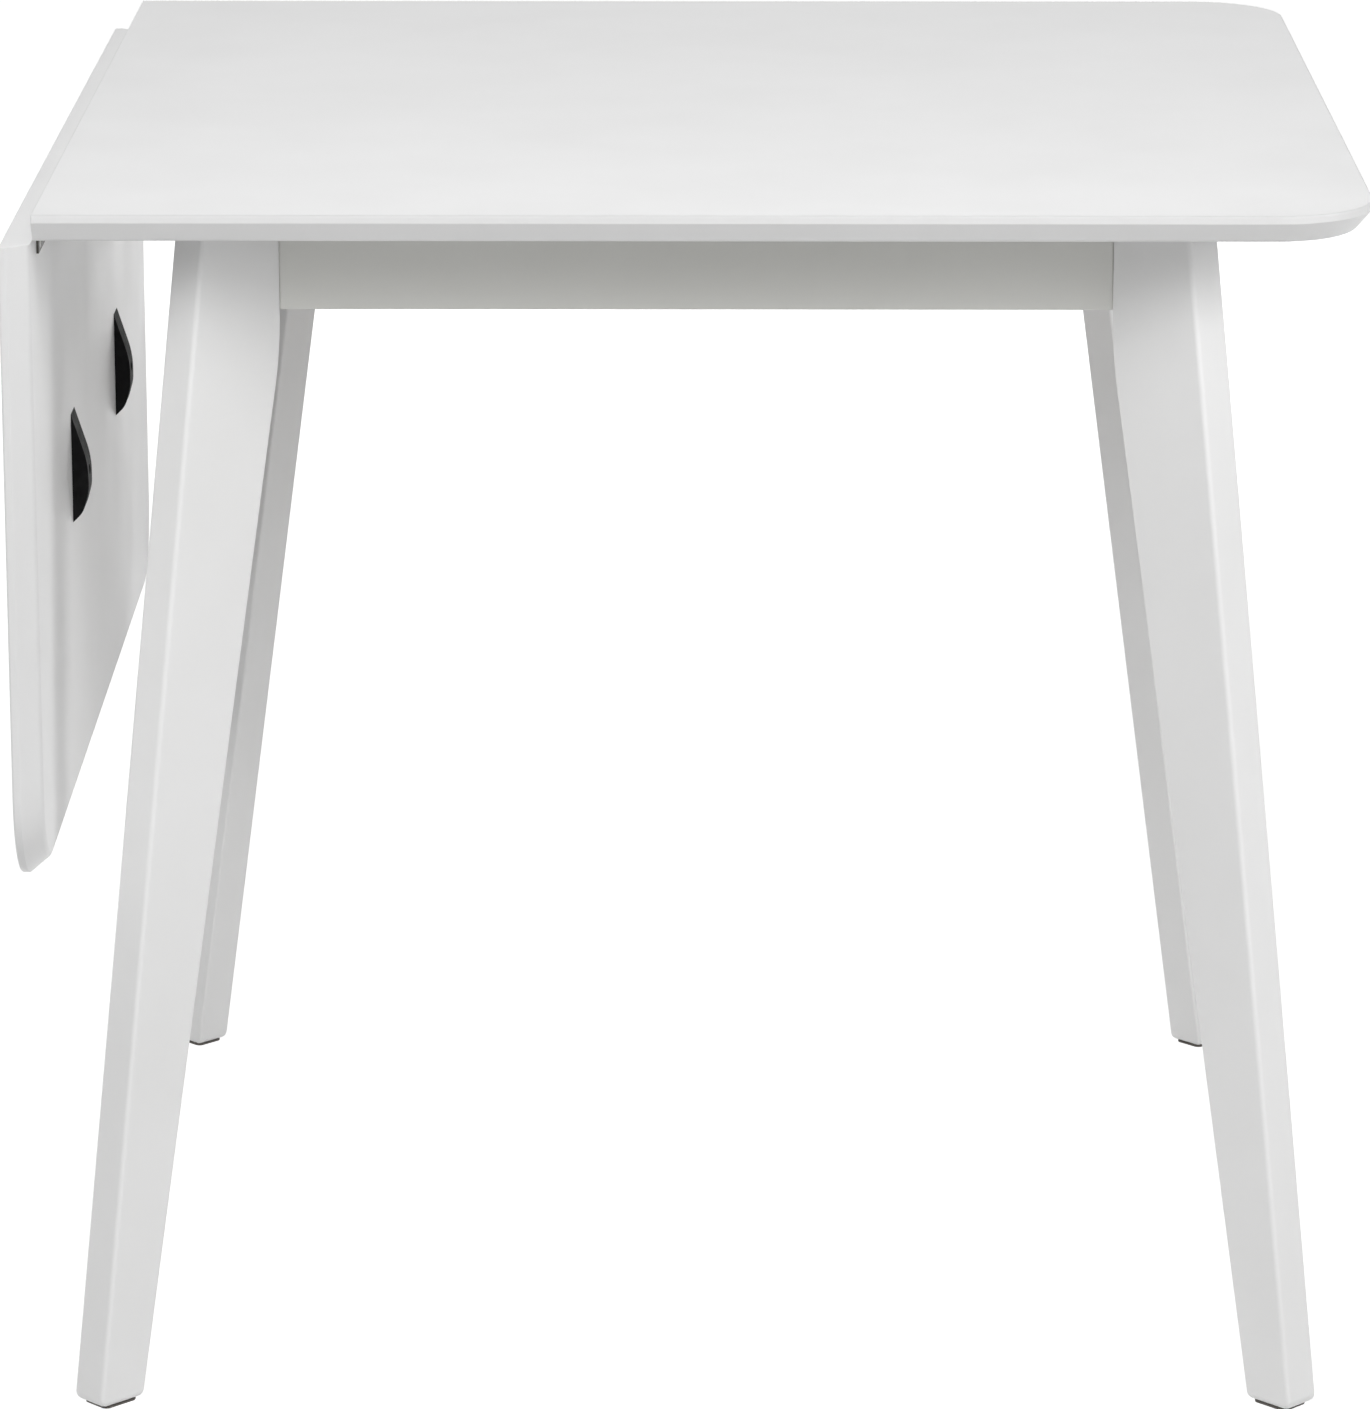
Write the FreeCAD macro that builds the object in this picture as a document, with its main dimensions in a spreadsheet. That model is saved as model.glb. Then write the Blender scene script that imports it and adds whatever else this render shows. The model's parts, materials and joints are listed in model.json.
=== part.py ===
import FreeCAD
import Part
import Sketcher
import os
import re

# Drop-leaf dining table: a square top on splayed diagonal legs, with one leaf hinged to its left edge.
# Millimetres, +Z up, floor at z = 0, front towards -Y, hinge edge towards -X, leaf hanging.
# The origin is on the floor under the middle of the table with its leaf down.

SIZES = [
    # Boards of the top and leaf
    ("tableHeight", 760, "floor to the upper face of the top"),
    ("boardThickness", 18, "top and leaf, which lie flush when the leaf is up"),
    ("topLength", 800, "top from hinge edge to free edge"),
    ("leafLength", 401, "leaf from hinge edge to free edge"),
    ("tableDepth", 800, "top and leaf from front to back"),
    ("cornerRadius", 62, "free corners of the boards"),
    ("bevelHeight", 13, "height of the bevel under the lip"),
    ("bevelRun", 11, "how far the bevel runs in under the board"),
    ("lipRadius", 1.6, "rounding of the upper edges"),
    # Frame
    ("frameOffset", -6.5, "middle of the legs from the middle of the top, along X"),
    ("apronThickness", 20, "apron boards"),
    ("apronHeight", 65, "apron boards"),
    ("blockReach", 75, "corner block along each apron"),
    ("earLength", 25, "flat ends of a corner block"),
    ("earThickness", 16, "flat ends of a corner block"),
    ("blockHeight", 58, "corner block"),
    # Legs, measured along the diagonal from the middle of the frame
    ("legThickness", 27, "leg board across the diagonal"),
    ("legTopOuter", 59.8, "outer edge at the top, from the inner edge there"),
    ("legTopInner", 373.5, "inner edge at the top, where it stands against the frame"),
    ("legFootOuter", 536.3, "outer edge at the foot"),
    ("legFootInner", 34.8, "inner edge at the foot, from the outer edge there"),
    ("kneeDrop", 90, "inner edge stays upright this far below the top"),
    ("kneeRadius", 200, "bend of the inner edge"),
    ("legOuterRound", 3, "rounding of the outer edges"),
    ("legInnerRound", 2, "rounding of the inner edges"),
    ("glideThickness", 1.8, "pad under each foot"),
    ("glideInset", 2.5, "pad inside the outline of the foot"),
    ("glideSetback", 6, "pad inside the outer edge of the foot"),
    ("glideRound", 4, "corners of the pad"),
    # Hanger bolts that hold the legs
    ("boltRadius", 4, "hanger bolt"),
    ("boltBite", 38, "depth of the bolt in the leg"),
    ("boltEnd", 3, "bolt past its nut"),
    ("boltUpperDrop", 16, "upper bolt below the top"),
    ("boltLowerDrop", 44, "lower bolt below the top"),
    ("washerRadius", 10, "washer"),
    ("washerThickness", 1.6, "washer"),
    ("nutRadius", 7.5, "nut, across its corners, halved"),
    ("nutHeight", 6.5, "nut"),
    # Screws
    ("screwRadius", 2.25, "block and top screws"),
    ("screwHead", 4.3, "radius of their countersunk heads"),
    ("screwHeadHeight", 2.5, "their countersunk heads"),
    ("screwBite", 12, "depth of these screws in the board that they hold"),
    ("blockScrewDrop", 15, "upper block screw below the top"),
    ("blockScrewPitch", 28, "upper to lower block screw"),
    ("topScrewReach", 16, "top screws behind the face of their block, along the diagonal"),
    ("topScrewAside", 14, "top screws beside the diagonal"),
    ("smallScrewRadius", 1.75, "hinge, pad and channel screws"),
    ("smallScrewHead", 3.2, "radius of their countersunk heads"),
    ("smallScrewBite", 12, "depth of these screws in the board that they hold"),
    ("screwGap", 0.1, "room round every screw and bolt"),
    # Hinges
    ("hingeLength", 60, "hinge along the joint"),
    ("hingeWidth", 12.5, "plate from the edge of its board"),
    ("hingeEndGap", 50, "outer hinges from the ends of the joint"),
    ("plateThickness", 1.5, "hinge plate"),
    ("pivotDrop", 1.5, "hinge pivot below the top's underside"),
    ("leafEdgeGap", 1, "top to leaf when the leaf is up"),
    ("knuckleRadius", 3.5, "hinge knuckle"),
    ("knuckleGap", 0.3, "between knuckles, and round them in the boards"),
    ("hingePinRadius", 1.5, "hinge pin"),
    ("hingePinGap", 0.05, "round the pin"),
    ("hingePinHead", 2.6, "radius of the pin's heads"),
    ("hingePinHeadHeight", 0.8, "pin's heads"),
    ("hingeHoleNear", 8.2, "outer screws of a plate from the edge of its board"),
    ("hingeHoleFar", 8.2, "middle screw of a plate from the edge of its board"),
    ("hingeHolePitch", 40, "between the outer screws of a plate"),
    # Ramp pads on the leaf
    ("padStart", 153, "thin end of the ramp from the edge of the leaf"),
    ("padLength", 70, "pad"),
    ("padCrest", 18, "crest along the leaf"),
    ("padTail", 20, "crest to blunt end"),
    ("padHeight", 10.3, "crest above the leaf"),
    ("padTailHeight", 6.6, "shoulder at the blunt end"),
    ("padTailInset", 6.5, "shoulder from the blunt end"),
    ("padWidth", 23.5, "pad"),
    ("padRampRound", 60, "rounding from ramp to crest"),
    ("padCrestRound", 25, "rounding from crest to tail"),
    ("padTailRound", 16, "rounding of the shoulder"),
    ("padSeat", 3, "pad under its screw heads"),
    ("padHoleNear", 38, "first screw from the thin end"),
    ("padHoleFar", 57, "second screw from the thin end"),
    # Pull-out supports
    ("supportSpacing", 8.65, "support bar from the corner block beside it"),
    ("slideGap", 0.3, "running gap of channel, runner and bar"),
    ("channelLength", 360, "channel under the top"),
    ("channelWall", 2, "channel"),
    ("channelSetback", 5, "channel behind the left apron"),
    ("channelHolePitch", 150, "between the screws of a channel"),
    ("runnerLength", 300, "runner"),
    ("runnerHead", 22, "upper flange of the runner"),
    ("runnerFoot", 16, "lower flange of the runner"),
    ("runnerFlange", 3, "flanges of the runner"),
    ("runnerWeb", 6, "web of the runner"),
    ("runnerTravel", 210, "how far the runner comes out"),
    ("runnerTipGap", 2, "runner inside the joint when it is out"),
    ("barLength", 400, "support bar"),
    ("barWidth", 30, "support bar"),
    ("barHeight", 26, "support bar"),
    ("barNeck", 4, "wood above the slot of a bar"),
    ("barNose", 7, "chamfer on the upper front edge of a bar"),
    ("barSetback", 8, "front end of a bar inside the left apron"),
    ("slotStart", 70, "slot behind the front end of a bar"),
    ("notchGap", 1.5, "apron notch round a bar"),
    ("battenThickness", 15, "stop batten behind the bars"),
    ("battenHeight", 32, "stop batten"),
    ("battenOverlap", 18, "stop batten past the bars"),
    ("battenGap", 0.5, "bars to stop batten"),
]

doc = FreeCAD.newDocument("drop_leaf_table")
sheet = doc.addObject("Spreadsheet::Sheet", "Sizes")
for row, (alias, number, note) in enumerate(SIZES, start=1):
    sheet.set(f"A{row}", note)
    sheet.set(f"B{row}", str(number))
    sheet.setAlias(f"B{row}", alias)
doc.recompute()
NAMES = {alias for alias, number, note in SIZES}
nodes = []

# Places that several pieces share, as formulas in the size names
UNDERSIDE = "(tableHeight - boardThickness)"
TOP_LEFT = "((leafEdgeGap / 2 + pivotDrop + boardThickness - topLength) / 2)"
CENTRE = f"({TOP_LEFT} + topLength / 2 + frameOffset)"
PIVOT_X = f"({TOP_LEFT} - leafEdgeGap / 2)"
PIVOT_Z = f"({UNDERSIDE} - pivotDrop)"
APRON_OUT = "((legTopInner + legThickness / 2) / sqrt(2))"
APRON_IN = f"({APRON_OUT} - apronThickness)"
BLOCK_FACE = f"((2 * {APRON_IN} - blockReach + earLength - earThickness) / sqrt(2))"
BAR_TOP = f"({UNDERSIDE} - padHeight - slideGap)"
BAR_TIP = f"({CENTRE} - {APRON_OUT} + barSetback)"
BAR_END = f"({BAR_TIP} + barLength)"
RUNNER_TOP = f"({UNDERSIDE} - channelWall - slideGap)"
LIP_TOP = f"({RUNNER_TOP} - runnerFlange - slideGap)"
RUNNER_TIP = f"({PIVOT_X} + runnerTipGap + runnerTravel)"
FOOT_TOP = f"({BAR_TOP} - barNeck - slideGap)"
CHANNEL_TIP = f"({CENTRE} - {APRON_IN} + channelSetback)"
SLOT_TIP = f"min({BAR_TIP} + slotStart; {RUNNER_TIP} - slideGap)"
SUPPORT_END = f"max({BAR_END}; {RUNNER_TIP} + runnerLength; {CHANNEL_TIP} + channelLength)"
BATTEN_TIP = f"({SUPPORT_END} + battenGap)"

LEG_TOP_OUT = "(legTopInner + legTopOuter)"
LEG_FOOT_IN = "(legFootOuter - legFootInner)"
SUPPORT_ASIDE = f"({APRON_IN} - blockReach - supportSpacing - barWidth / 2)"

UP = FreeCAD.Vector(0, 0, 1)
DOWN = FreeCAD.Vector(0, 0, -1)
ALONG_Y = FreeCAD.Vector(0, 1, 0)
CORNERS = {"front_left": (-1, -1), "front_right": (1, -1), "back_right": (1, 1), "back_left": (-1, 1)}
CORNER_TURN = {"front_left": 225, "front_right": 315, "back_right": 45, "back_left": 135}
SIDE_TURN = {"front": 0, "right": 90, "back": 180, "left": 270}
SUPPORTS = {"front": f"-{SUPPORT_ASIDE}", "back": SUPPORT_ASIDE}
HINGES = {
    "front": "-(tableDepth / 2 - hingeEndGap - hingeLength / 2)",
    "middle": "0",
    "back": "(tableDepth / 2 - hingeEndGap - hingeLength / 2)",
}
HINGE_HOLES = [
    ("hingeHoleNear", "-hingeHolePitch / 2"),
    ("hingeHoleNear", "hingeHolePitch / 2"),
    ("hingeHoleFar", "0"),
]


def sized(formula):
    """The formula with each size name pointing at its cell."""
    return re.sub(r"[A-Za-z]+", lambda m: f"Sizes.{m[0]}" if m[0] in NAMES else m[0], formula)


def value(formula):
    return float(sheet.evalExpression(sized(formula)))


def bind(obj, **formulas):
    for prop, formula in formulas.items():
        obj.setExpression(prop, sized(formula))
    return obj


def place(obj, x="0", y="0", z="0", rotation=FreeCAD.Rotation()):
    obj.Placement = FreeCAD.Placement(FreeCAD.Vector(), rotation)
    for axis, formula in zip("xyz", (x, y, z)):
        obj.setExpression(f"Placement.Base.{axis}", sized(formula))
    return obj


def node(name, obj):
    """Names a finished piece, which becomes a file of its own."""
    obj.Label = name
    nodes.append(obj)
    return obj


# Building blocks


def box(length, width, height, x, y, z):
    """A block that starts at x, is centred on y and hangs down from z."""
    block = doc.addObject("Part::Box", "block")
    bind(block, Length=length, Width=width, Height=height)
    return place(block, x, f"{y} - ({width}) / 2", f"{z} - ({height})")


def rod(radius, length, x, y, z, direction):
    bar = doc.addObject("Part::Cylinder", "rod")
    bind(bar, Radius=radius, Height=length)
    return place(bar, x, y, z, FreeCAD.Rotation(UP, direction))


def taper(radius, end_radius, length, x, y, z, direction):
    cone = doc.addObject("Part::Cone", "taper")
    bind(cone, Radius1=radius, Radius2=end_radius, Height=length)
    return place(cone, x, y, z, FreeCAD.Rotation(UP, direction))


def hexagon(radius, length, x, y, z, direction):
    prism = doc.addObject("Part::Prism", "hexagon")
    prism.Polygon = 6
    bind(prism, Circumradius=radius, Height=length)
    return place(prism, x, y, z, FreeCAD.Rotation(UP, direction))


def group(pieces):
    bunch = doc.addObject("Part::Compound", "group")
    bunch.Links = pieces
    return bunch


def joined(pieces):
    union = doc.addObject("Part::MultiFuse", "joined")
    union.Shapes = pieces
    return union


def cut(base, tools):
    rest = doc.addObject("Part::Cut", "cut")
    rest.Base = base
    rest.Tool = group(tools)
    return rest


def outline(body, plane, points):
    """A closed sketch of straight lines, each corner held to the origin by two distances."""
    sketch = body.newObject("Sketcher::SketchObject", "outline")
    support = [f for f in body.Origin.OriginFeatures if f.Role == plane]
    sketch.AttachmentSupport = [(support[0], "")]
    sketch.MapMode = "FlatFace"
    spots = [FreeCAD.Vector(value(x), value(y), 0) for x, y in points]
    for index, spot in enumerate(spots):
        sketch.addGeometry(Part.LineSegment(spot, spots[(index + 1) % len(spots)]))
    for index, corner in enumerate(points):
        before = (index - 1) % len(spots)
        sketch.addConstraint(Sketcher.Constraint("Coincident", before, 2, index, 1))
        for kind, formula, start in zip(("DistanceX", "DistanceY"), corner, spots[index]):
            hold(sketch, kind, index, formula, start)
    return sketch


def hold(sketch, kind, corner, formula, start):
    """Ties one coordinate of a corner to the sheet, from the origin or, if it is negative, towards it."""
    if formula == "0":
        axis = -2 if kind == "DistanceX" else -1
        sketch.addConstraint(Sketcher.Constraint("PointOnObject", corner, 1, axis))
    elif start > 0:
        number = sketch.addConstraint(Sketcher.Constraint(kind, -1, 1, corner, 1, start))
        sketch.setExpression(f"Constraints[{number}]", sized(formula))
    else:
        number = sketch.addConstraint(Sketcher.Constraint(kind, corner, 1, -1, 1, -start))
        sketch.setExpression(f"Constraints[{number}]", sized(f"-({formula})"))


def board(name, plane, points, thickness, symmetric=False):
    """A body with its outline padded to a thickness."""
    body = doc.addObject("PartDesign::Body", name)
    pad = body.newObject("PartDesign::Pad", "pad")
    pad.Profile = outline(body, plane, points)
    pad.SideType = "Symmetric" if symmetric else "One side"
    bind(pad, Length=thickness)
    doc.recompute()
    return body


def edges(body, test):
    """Names of the edges of the body's last feature whose middle point passes the test."""
    found = []
    for index, edge in enumerate(body.Tip.Shape.Edges, start=1):
        middle = edge.valueAt((edge.FirstParameter + edge.LastParameter) / 2)
        if test(edge, middle):
            found.append(f"Edge{index}")
    return found


def rounded(body, radius, test):
    base = body.Tip
    names = edges(body, test)
    fillet = body.newObject("PartDesign::Fillet", "rounding")
    fillet.Base = (base, names)
    bind(fillet, Radius=radius)
    doc.recompute()
    return fillet


def near(number, formula):
    return abs(number - value(formula)) < 0.01


def upright(edge):
    return abs(edge.tangentAt(edge.FirstParameter).z) > 0.99


# Screws, and the same shapes a little larger as their holes


def screw(x, y, z, direction, length, gap="0"):
    """A countersunk wood screw: its head's flat is at the point, its shank runs along the direction."""
    shank = rod(f"screwRadius + {gap}", f"{length} + {gap}", x, y, z, direction)
    head = taper(f"screwHead + {gap}", f"screwRadius + {gap}", "screwHeadHeight", x, y, z, direction)
    return joined([shank, head])


def small_screw(x, y, z, direction, through, gap="0"):
    """A small countersunk screw through a plate of one thickness into the board behind it."""
    shank = rod(f"smallScrewRadius + {gap}", f"{through} + smallScrewBite + {gap}", x, y, z, direction)
    radii = (f"smallScrewHead + {gap}", f"smallScrewRadius + {gap}")
    head = taper(*radii, "plateThickness", x, y, z, direction)
    return joined([shank, head])


# Top and leaf


def table_board(name, length):
    """A board from its hinge edge at x = 0 and its underside at z = 0, with three edges bevelled below."""
    half = "tableDepth / 2"
    corners = [("0", f"-{half}"), (length, f"-{half}"), (length, half), ("0", half)]
    body = board(name, "XY_Plane", corners, "boardThickness")
    rounded(body, "cornerRadius", lambda edge, at: upright(edge) and near(at.x, length))
    base = body.Tip
    free_edge = edges(body, lambda edge, at: near(at.x, length) and near(at.z, "0"))
    bevel = body.newObject("PartDesign::Chamfer", "bevel")
    bevel.Base = (base, free_edge)
    bevel.ChamferType = "Two distances"
    bind(bevel, Size="bevelRun", Size2="bevelHeight")
    doc.recompute()
    rounded(body, "lipRadius", lambda edge, at: near(at.x, length) and near(at.z, "boardThickness"))
    return body


def leaf_placed(obj):
    """Hangs a piece that is drawn on the leaf: x from its hinge edge, z from its underside."""
    x = f"{PIVOT_X} - pivotDrop"
    z = f"{PIVOT_Z} - leafEdgeGap / 2"
    return place(obj, x, "0", z, FreeCAD.Rotation(FreeCAD.Vector(1, 0, -1), 180))


def top_placed(obj):
    """Places a piece that is drawn on the top: x from its hinge edge, z from its underside."""
    return place(obj, TOP_LEFT, "0", UNDERSIDE)


def hinge_screws(gap="0"):
    """Screws of all the plates on one board, drawn on that board."""
    screws = []
    for middle in HINGES.values():
        for x, y in HINGE_HOLES:
            screws.append(small_screw(x, f"{middle} + {y}", "-plateThickness", UP, "plateThickness", gap))
    return screws


def hinge_reliefs():
    """Room for the knuckles in the lower edge of a board."""
    reliefs = []
    for middle in HINGES.values():
        start = f"{middle} - hingeLength / 2 - hingePinHeadHeight - knuckleGap"
        length = "hingeLength + 2 * hingePinHeadHeight + 2 * knuckleGap"
        radius = "knuckleRadius + knuckleGap"
        reliefs.append(rod(radius, length, "-leafEdgeGap / 2", start, "-pivotDrop", ALONG_Y))
    return reliefs


def hinge_plate(middle, knuckles):
    """A plate drawn on its board, with knuckles: each the start from the plate's middle and the length."""
    root = "knuckleRadius + knuckleGap"
    axis_x = "-leafEdgeGap / 2"
    strip = box(f"hingeWidth - {root}", "hingeLength", "plateThickness", root, middle, "0")
    pieces = [strip]
    for start, length in knuckles:
        tongue_middle = f"{middle} + {start} + ({length}) / 2"
        reach = f"{root} + leafEdgeGap / 2"
        pieces.append(box(reach, length, "plateThickness", axis_x, tongue_middle, "0"))
        knuckle_start = f"{middle} + {start}"
        pieces.append(rod("knuckleRadius", length, axis_x, knuckle_start, "-pivotDrop", ALONG_Y))
    bore_start = f"{middle} - hingeLength / 2"
    bore_radius = "hingePinRadius + hingePinGap"
    holes = [rod(bore_radius, "hingeLength", axis_x, bore_start, "-pivotDrop", ALONG_Y)]
    for x, y in HINGE_HOLES:
        holes.append(small_screw(x, f"{middle} + {y}", "-plateThickness", UP, "plateThickness", "screwGap"))
    return cut(joined(pieces), holes)


def hinge_pin(middle):
    """A pin with a flat head at each end, drawn on the top."""
    x = "-leafEdgeGap / 2"
    start = f"{middle} - hingeLength / 2"
    head = ("hingePinHead", "hingePinHeadHeight")
    return joined(
        [
            rod("hingePinRadius", "hingeLength", x, start, "-pivotDrop", ALONG_Y),
            rod(*head, x, f"{start} - hingePinHeadHeight", "-pivotDrop", ALONG_Y),
            rod(*head, x, f"{start} + hingeLength", "-pivotDrop", ALONG_Y),
        ]
    )


THIRD = "hingeLength / 3"
OUTER_KNUCKLES = [("(-hingeLength / 2)", THIRD), ("(hingeLength / 6)", THIRD)]
MIDDLE_KNUCKLE = [("(knuckleGap - hingeLength / 6)", f"({THIRD} - 2 * knuckleGap)")]

for where, middle in HINGES.items():
    node(f"hinge_{where}_top_plate", top_placed(hinge_plate(middle, OUTER_KNUCKLES)))
    node(f"hinge_{where}_pin", top_placed(hinge_pin(middle)))
    on_leaf = f"(-({middle}))"
    node(f"hinge_{where}_leaf_plate", leaf_placed(hinge_plate(on_leaf, MIDDLE_KNUCKLE)))
node("hinge_top_screws", top_placed(group(hinge_screws())))
node("hinge_leaf_screws", leaf_placed(group(hinge_screws())))


# Ramp pads on the leaf


def pad_screws(y, gap="0"):
    return [
        small_screw(f"padStart + {hole}", y, "-padSeat", UP, "padSeat", gap)
        for hole in ("padHoleNear", "padHoleFar")
    ]


def ramp_pad(name, y):
    """A wedge that rises away from the hinge to a rounded crest, drawn on the leaf."""
    end = "padStart + padLength"
    tail = f"{end} - padTailInset"
    slope = f"{end} - padTail"
    crest = f"{slope} - padCrest"
    profile = [
        ("padStart", "0"),
        (end, "0"),
        (tail, "-padTailHeight"),
        (slope, "-padHeight"),
        (crest, "-padHeight"),
    ]
    body = board(name, "XZ_Plane", profile, "padWidth", symmetric=True)
    rounded(body, "padTailRound", lambda edge, at: near(at.x, tail) and near(at.z, "-padTailHeight"))
    rounded(body, "padRampRound", lambda edge, at: near(at.x, crest) and near(at.y, "0"))
    rounded(body, "padCrestRound", lambda edge, at: near(at.x, slope) and near(at.y, "0"))
    place(body, "0", y, "0")
    holes = pad_screws(y, "screwGap")
    for hole in ("padHoleNear", "padHoleFar"):
        holes.append(rod("smallScrewHead + screwGap", "padHeight", f"padStart + {hole}", y, "-padSeat", DOWN))
    return cut(body, holes)


pad_screw_list = []
pad_pilots = []
for where, y in SUPPORTS.items():
    on_leaf = f"(-({y}))"
    node(f"ramp_pad_{where}", leaf_placed(ramp_pad(f"pad_{where}", on_leaf)))
    pad_screw_list += pad_screws(on_leaf)
    pad_pilots += pad_screws(on_leaf, "screwGap")
node("ramp_pad_screws", leaf_placed(group(pad_screw_list)))

leaf_holes = hinge_screws("screwGap") + hinge_reliefs() + pad_pilots
node("drop_leaf", leaf_placed(cut(table_board("leaf_board", "leafLength"), leaf_holes)))


# Frame of legs and aprons


def corner_spot(corner, along, aside="0"):
    """Formulas for x and y of a spot on a corner's diagonal, or beside it."""
    right, back = CORNERS[corner]
    x = f"{CENTRE} + ({right} * ({along}) - {back} * ({aside})) / sqrt(2)"
    y = f"({back} * ({along}) + {right} * ({aside})) / sqrt(2)"
    return x, y


def outward(corner, turn=0):
    """Direction along a corner's diagonal, away from the middle, turned by so many degrees."""
    right, back = CORNERS[corner]
    return FreeCAD.Rotation(UP, turn).multVec(FreeCAD.Vector(right, back, 0))


def corner_placed(obj, corner, z="0"):
    return place(obj, CENTRE, "0", z, FreeCAD.Rotation(UP, CORNER_TURN[corner]))


def hanger_bolts(gap="0"):
    """Two bolts for each leg, from inside its corner block into its inner edge."""
    bolts = []
    start = f"{BLOCK_FACE} - washerThickness - nutHeight - boltEnd"
    length = f"legTopInner + boltBite - ({start}) + {gap}"
    for corner in CORNERS:
        x, y = corner_spot(corner, start)
        for drop in ("boltUpperDrop", "boltLowerDrop"):
            z = f"{UNDERSIDE} - {drop}"
            bolts.append(rod(f"boltRadius + {gap}", length, x, y, z, outward(corner)))
    return bolts


def on_bolts(shape, radius, thickness, start):
    """Washers or nuts: one shape on every hanger bolt, from a place along the diagonal."""
    pieces = []
    for corner in CORNERS:
        x, y = corner_spot(corner, start)
        for drop in ("boltUpperDrop", "boltLowerDrop"):
            pieces.append(shape(radius, thickness, x, y, f"{UNDERSIDE} - {drop}", outward(corner)))
    return cut(group(pieces), hanger_bolts("screwGap"))


def block_screws(gap="0"):
    """Screws through the flat ends of the corner blocks into the aprons."""
    screws = []
    along = f"((2 * {APRON_IN} - blockReach + earLength / 2 - earThickness) / sqrt(2))"
    aside = "((blockReach - earLength / 2 - earThickness) / sqrt(2))"
    for corner in CORNERS:
        for side, turn in (("", 45), ("-", -45)):
            x, y = corner_spot(corner, along, f"{side}{aside}")
            for drop in ("blockScrewDrop", "(blockScrewDrop + blockScrewPitch)"):
                z = f"{UNDERSIDE} - {drop}"
                length = "earThickness + screwBite"
                screws.append(screw(x, y, z, outward(corner, turn), length, gap))
    return screws


def top_screws(gap="0"):
    """Screws up through the corner blocks into the top."""
    screws = []
    for corner in CORNERS:
        for aside in ("topScrewAside", "-topScrewAside"):
            x, y = corner_spot(corner, f"{BLOCK_FACE} + topScrewReach", aside)
            screws.append(screw(x, y, f"{UNDERSIDE} - blockHeight", UP, "blockHeight + screwBite", gap))
    return screws


def leg(corner):
    """A flat board in the diagonal plane, its inner edge upright beside the frame and then sloped."""
    profile = [
        ("legTopInner", UNDERSIDE),
        ("legTopInner", f"{UNDERSIDE} - kneeDrop"),
        (LEG_FOOT_IN, "glideThickness"),
        ("legFootOuter", "glideThickness"),
        (LEG_TOP_OUT, UNDERSIDE),
    ]
    body = board(f"leg_board_{corner}", "XZ_Plane", profile, "legThickness", symmetric=True)
    knee = f"{UNDERSIDE} - kneeDrop"
    rounded(body, "kneeRadius", lambda edge, at: near(at.z, knee) and near(at.y, "0"))
    half_height = f"({UNDERSIDE} + glideThickness) / 2"
    rounded(body, "legOuterRound", lambda edge, at: near(at.z, half_height) and not near(at.y, "0"))
    rounded(
        body,
        "legInnerRound",
        lambda edge, at: near(at.x, "legTopInner") and not near(at.y, "0"),
    )
    corner_placed(body, corner)
    return cut(body, hanger_bolts("screwGap"))


def foot_glide(corner):
    """A thin pad a little inside the outline of the foot."""
    inner = f"{LEG_FOOT_IN} + glideInset"
    outer = "legFootOuter - glideSetback"
    half = "(legThickness / 2 - glideInset)"
    corners = [(inner, f"-{half}"), (outer, f"-{half}"), (outer, half), (inner, half)]
    body = board(f"glide_{corner}", "XY_Plane", corners, "glideThickness")
    rounded(body, "glideRound", lambda edge, at: upright(edge))
    return corner_placed(body, corner)


def apron(side, holes):
    """A board mitred at its ends, its outer corners cut back to the inner edges of the legs."""
    half = "((legTopInner - legThickness / 2) / sqrt(2))"
    tip = "(legTopInner / sqrt(2))"
    right_end = [(half, f"-{APRON_OUT}"), (tip, f"-{tip}"), (APRON_IN, f"-{APRON_IN}")]
    left_end = [(f"-{x}", y) for x, y in reversed(right_end)]
    body = board(f"apron_board_{side}", "XY_Plane", right_end + left_end, "apronHeight")
    turn = FreeCAD.Rotation(UP, SIDE_TURN[side])
    place(body, CENTRE, "0", f"{UNDERSIDE} - apronHeight", turn)
    return cut(body, holes)


def corner_block(corner):
    """A block in the corner of the aprons with a flat end along each and a face across the diagonal."""
    spots = [
        ("0", "0"),
        ("blockReach", "0"),
        ("blockReach", "earThickness"),
        ("(blockReach - earLength)", "earThickness"),
    ]
    diagonal = [(f"({p} + {q})", f"({p} - {q})") for p, q in spots]
    reach = f"2 * {APRON_IN}"
    one_side = [(f"({reach} - {s}) / sqrt(2)", f"{d} / sqrt(2)") for s, d in diagonal[1:]]
    other_side = [(x, f"-{y}") for x, y in reversed(one_side)]
    points = [(f"{reach} / sqrt(2)", "0")] + one_side + other_side
    body = board(f"block_{corner}", "XY_Plane", points, "blockHeight")
    corner_placed(body, corner, f"{UNDERSIDE} - blockHeight")
    return cut(body, hanger_bolts("screwGap") + block_screws("screwGap") + top_screws("screwGap"))


def support_notches():
    """Openings in the left apron for the runners and bars."""
    width = "barWidth + 2 * notchGap"
    height = f"{UNDERSIDE} - {BAR_TOP} + barHeight + notchGap"
    x = f"{CENTRE} - {APRON_OUT} - notchGap"
    return [box("apronThickness + 2 * notchGap", width, height, x, y, UNDERSIDE) for y in SUPPORTS.values()]


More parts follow.
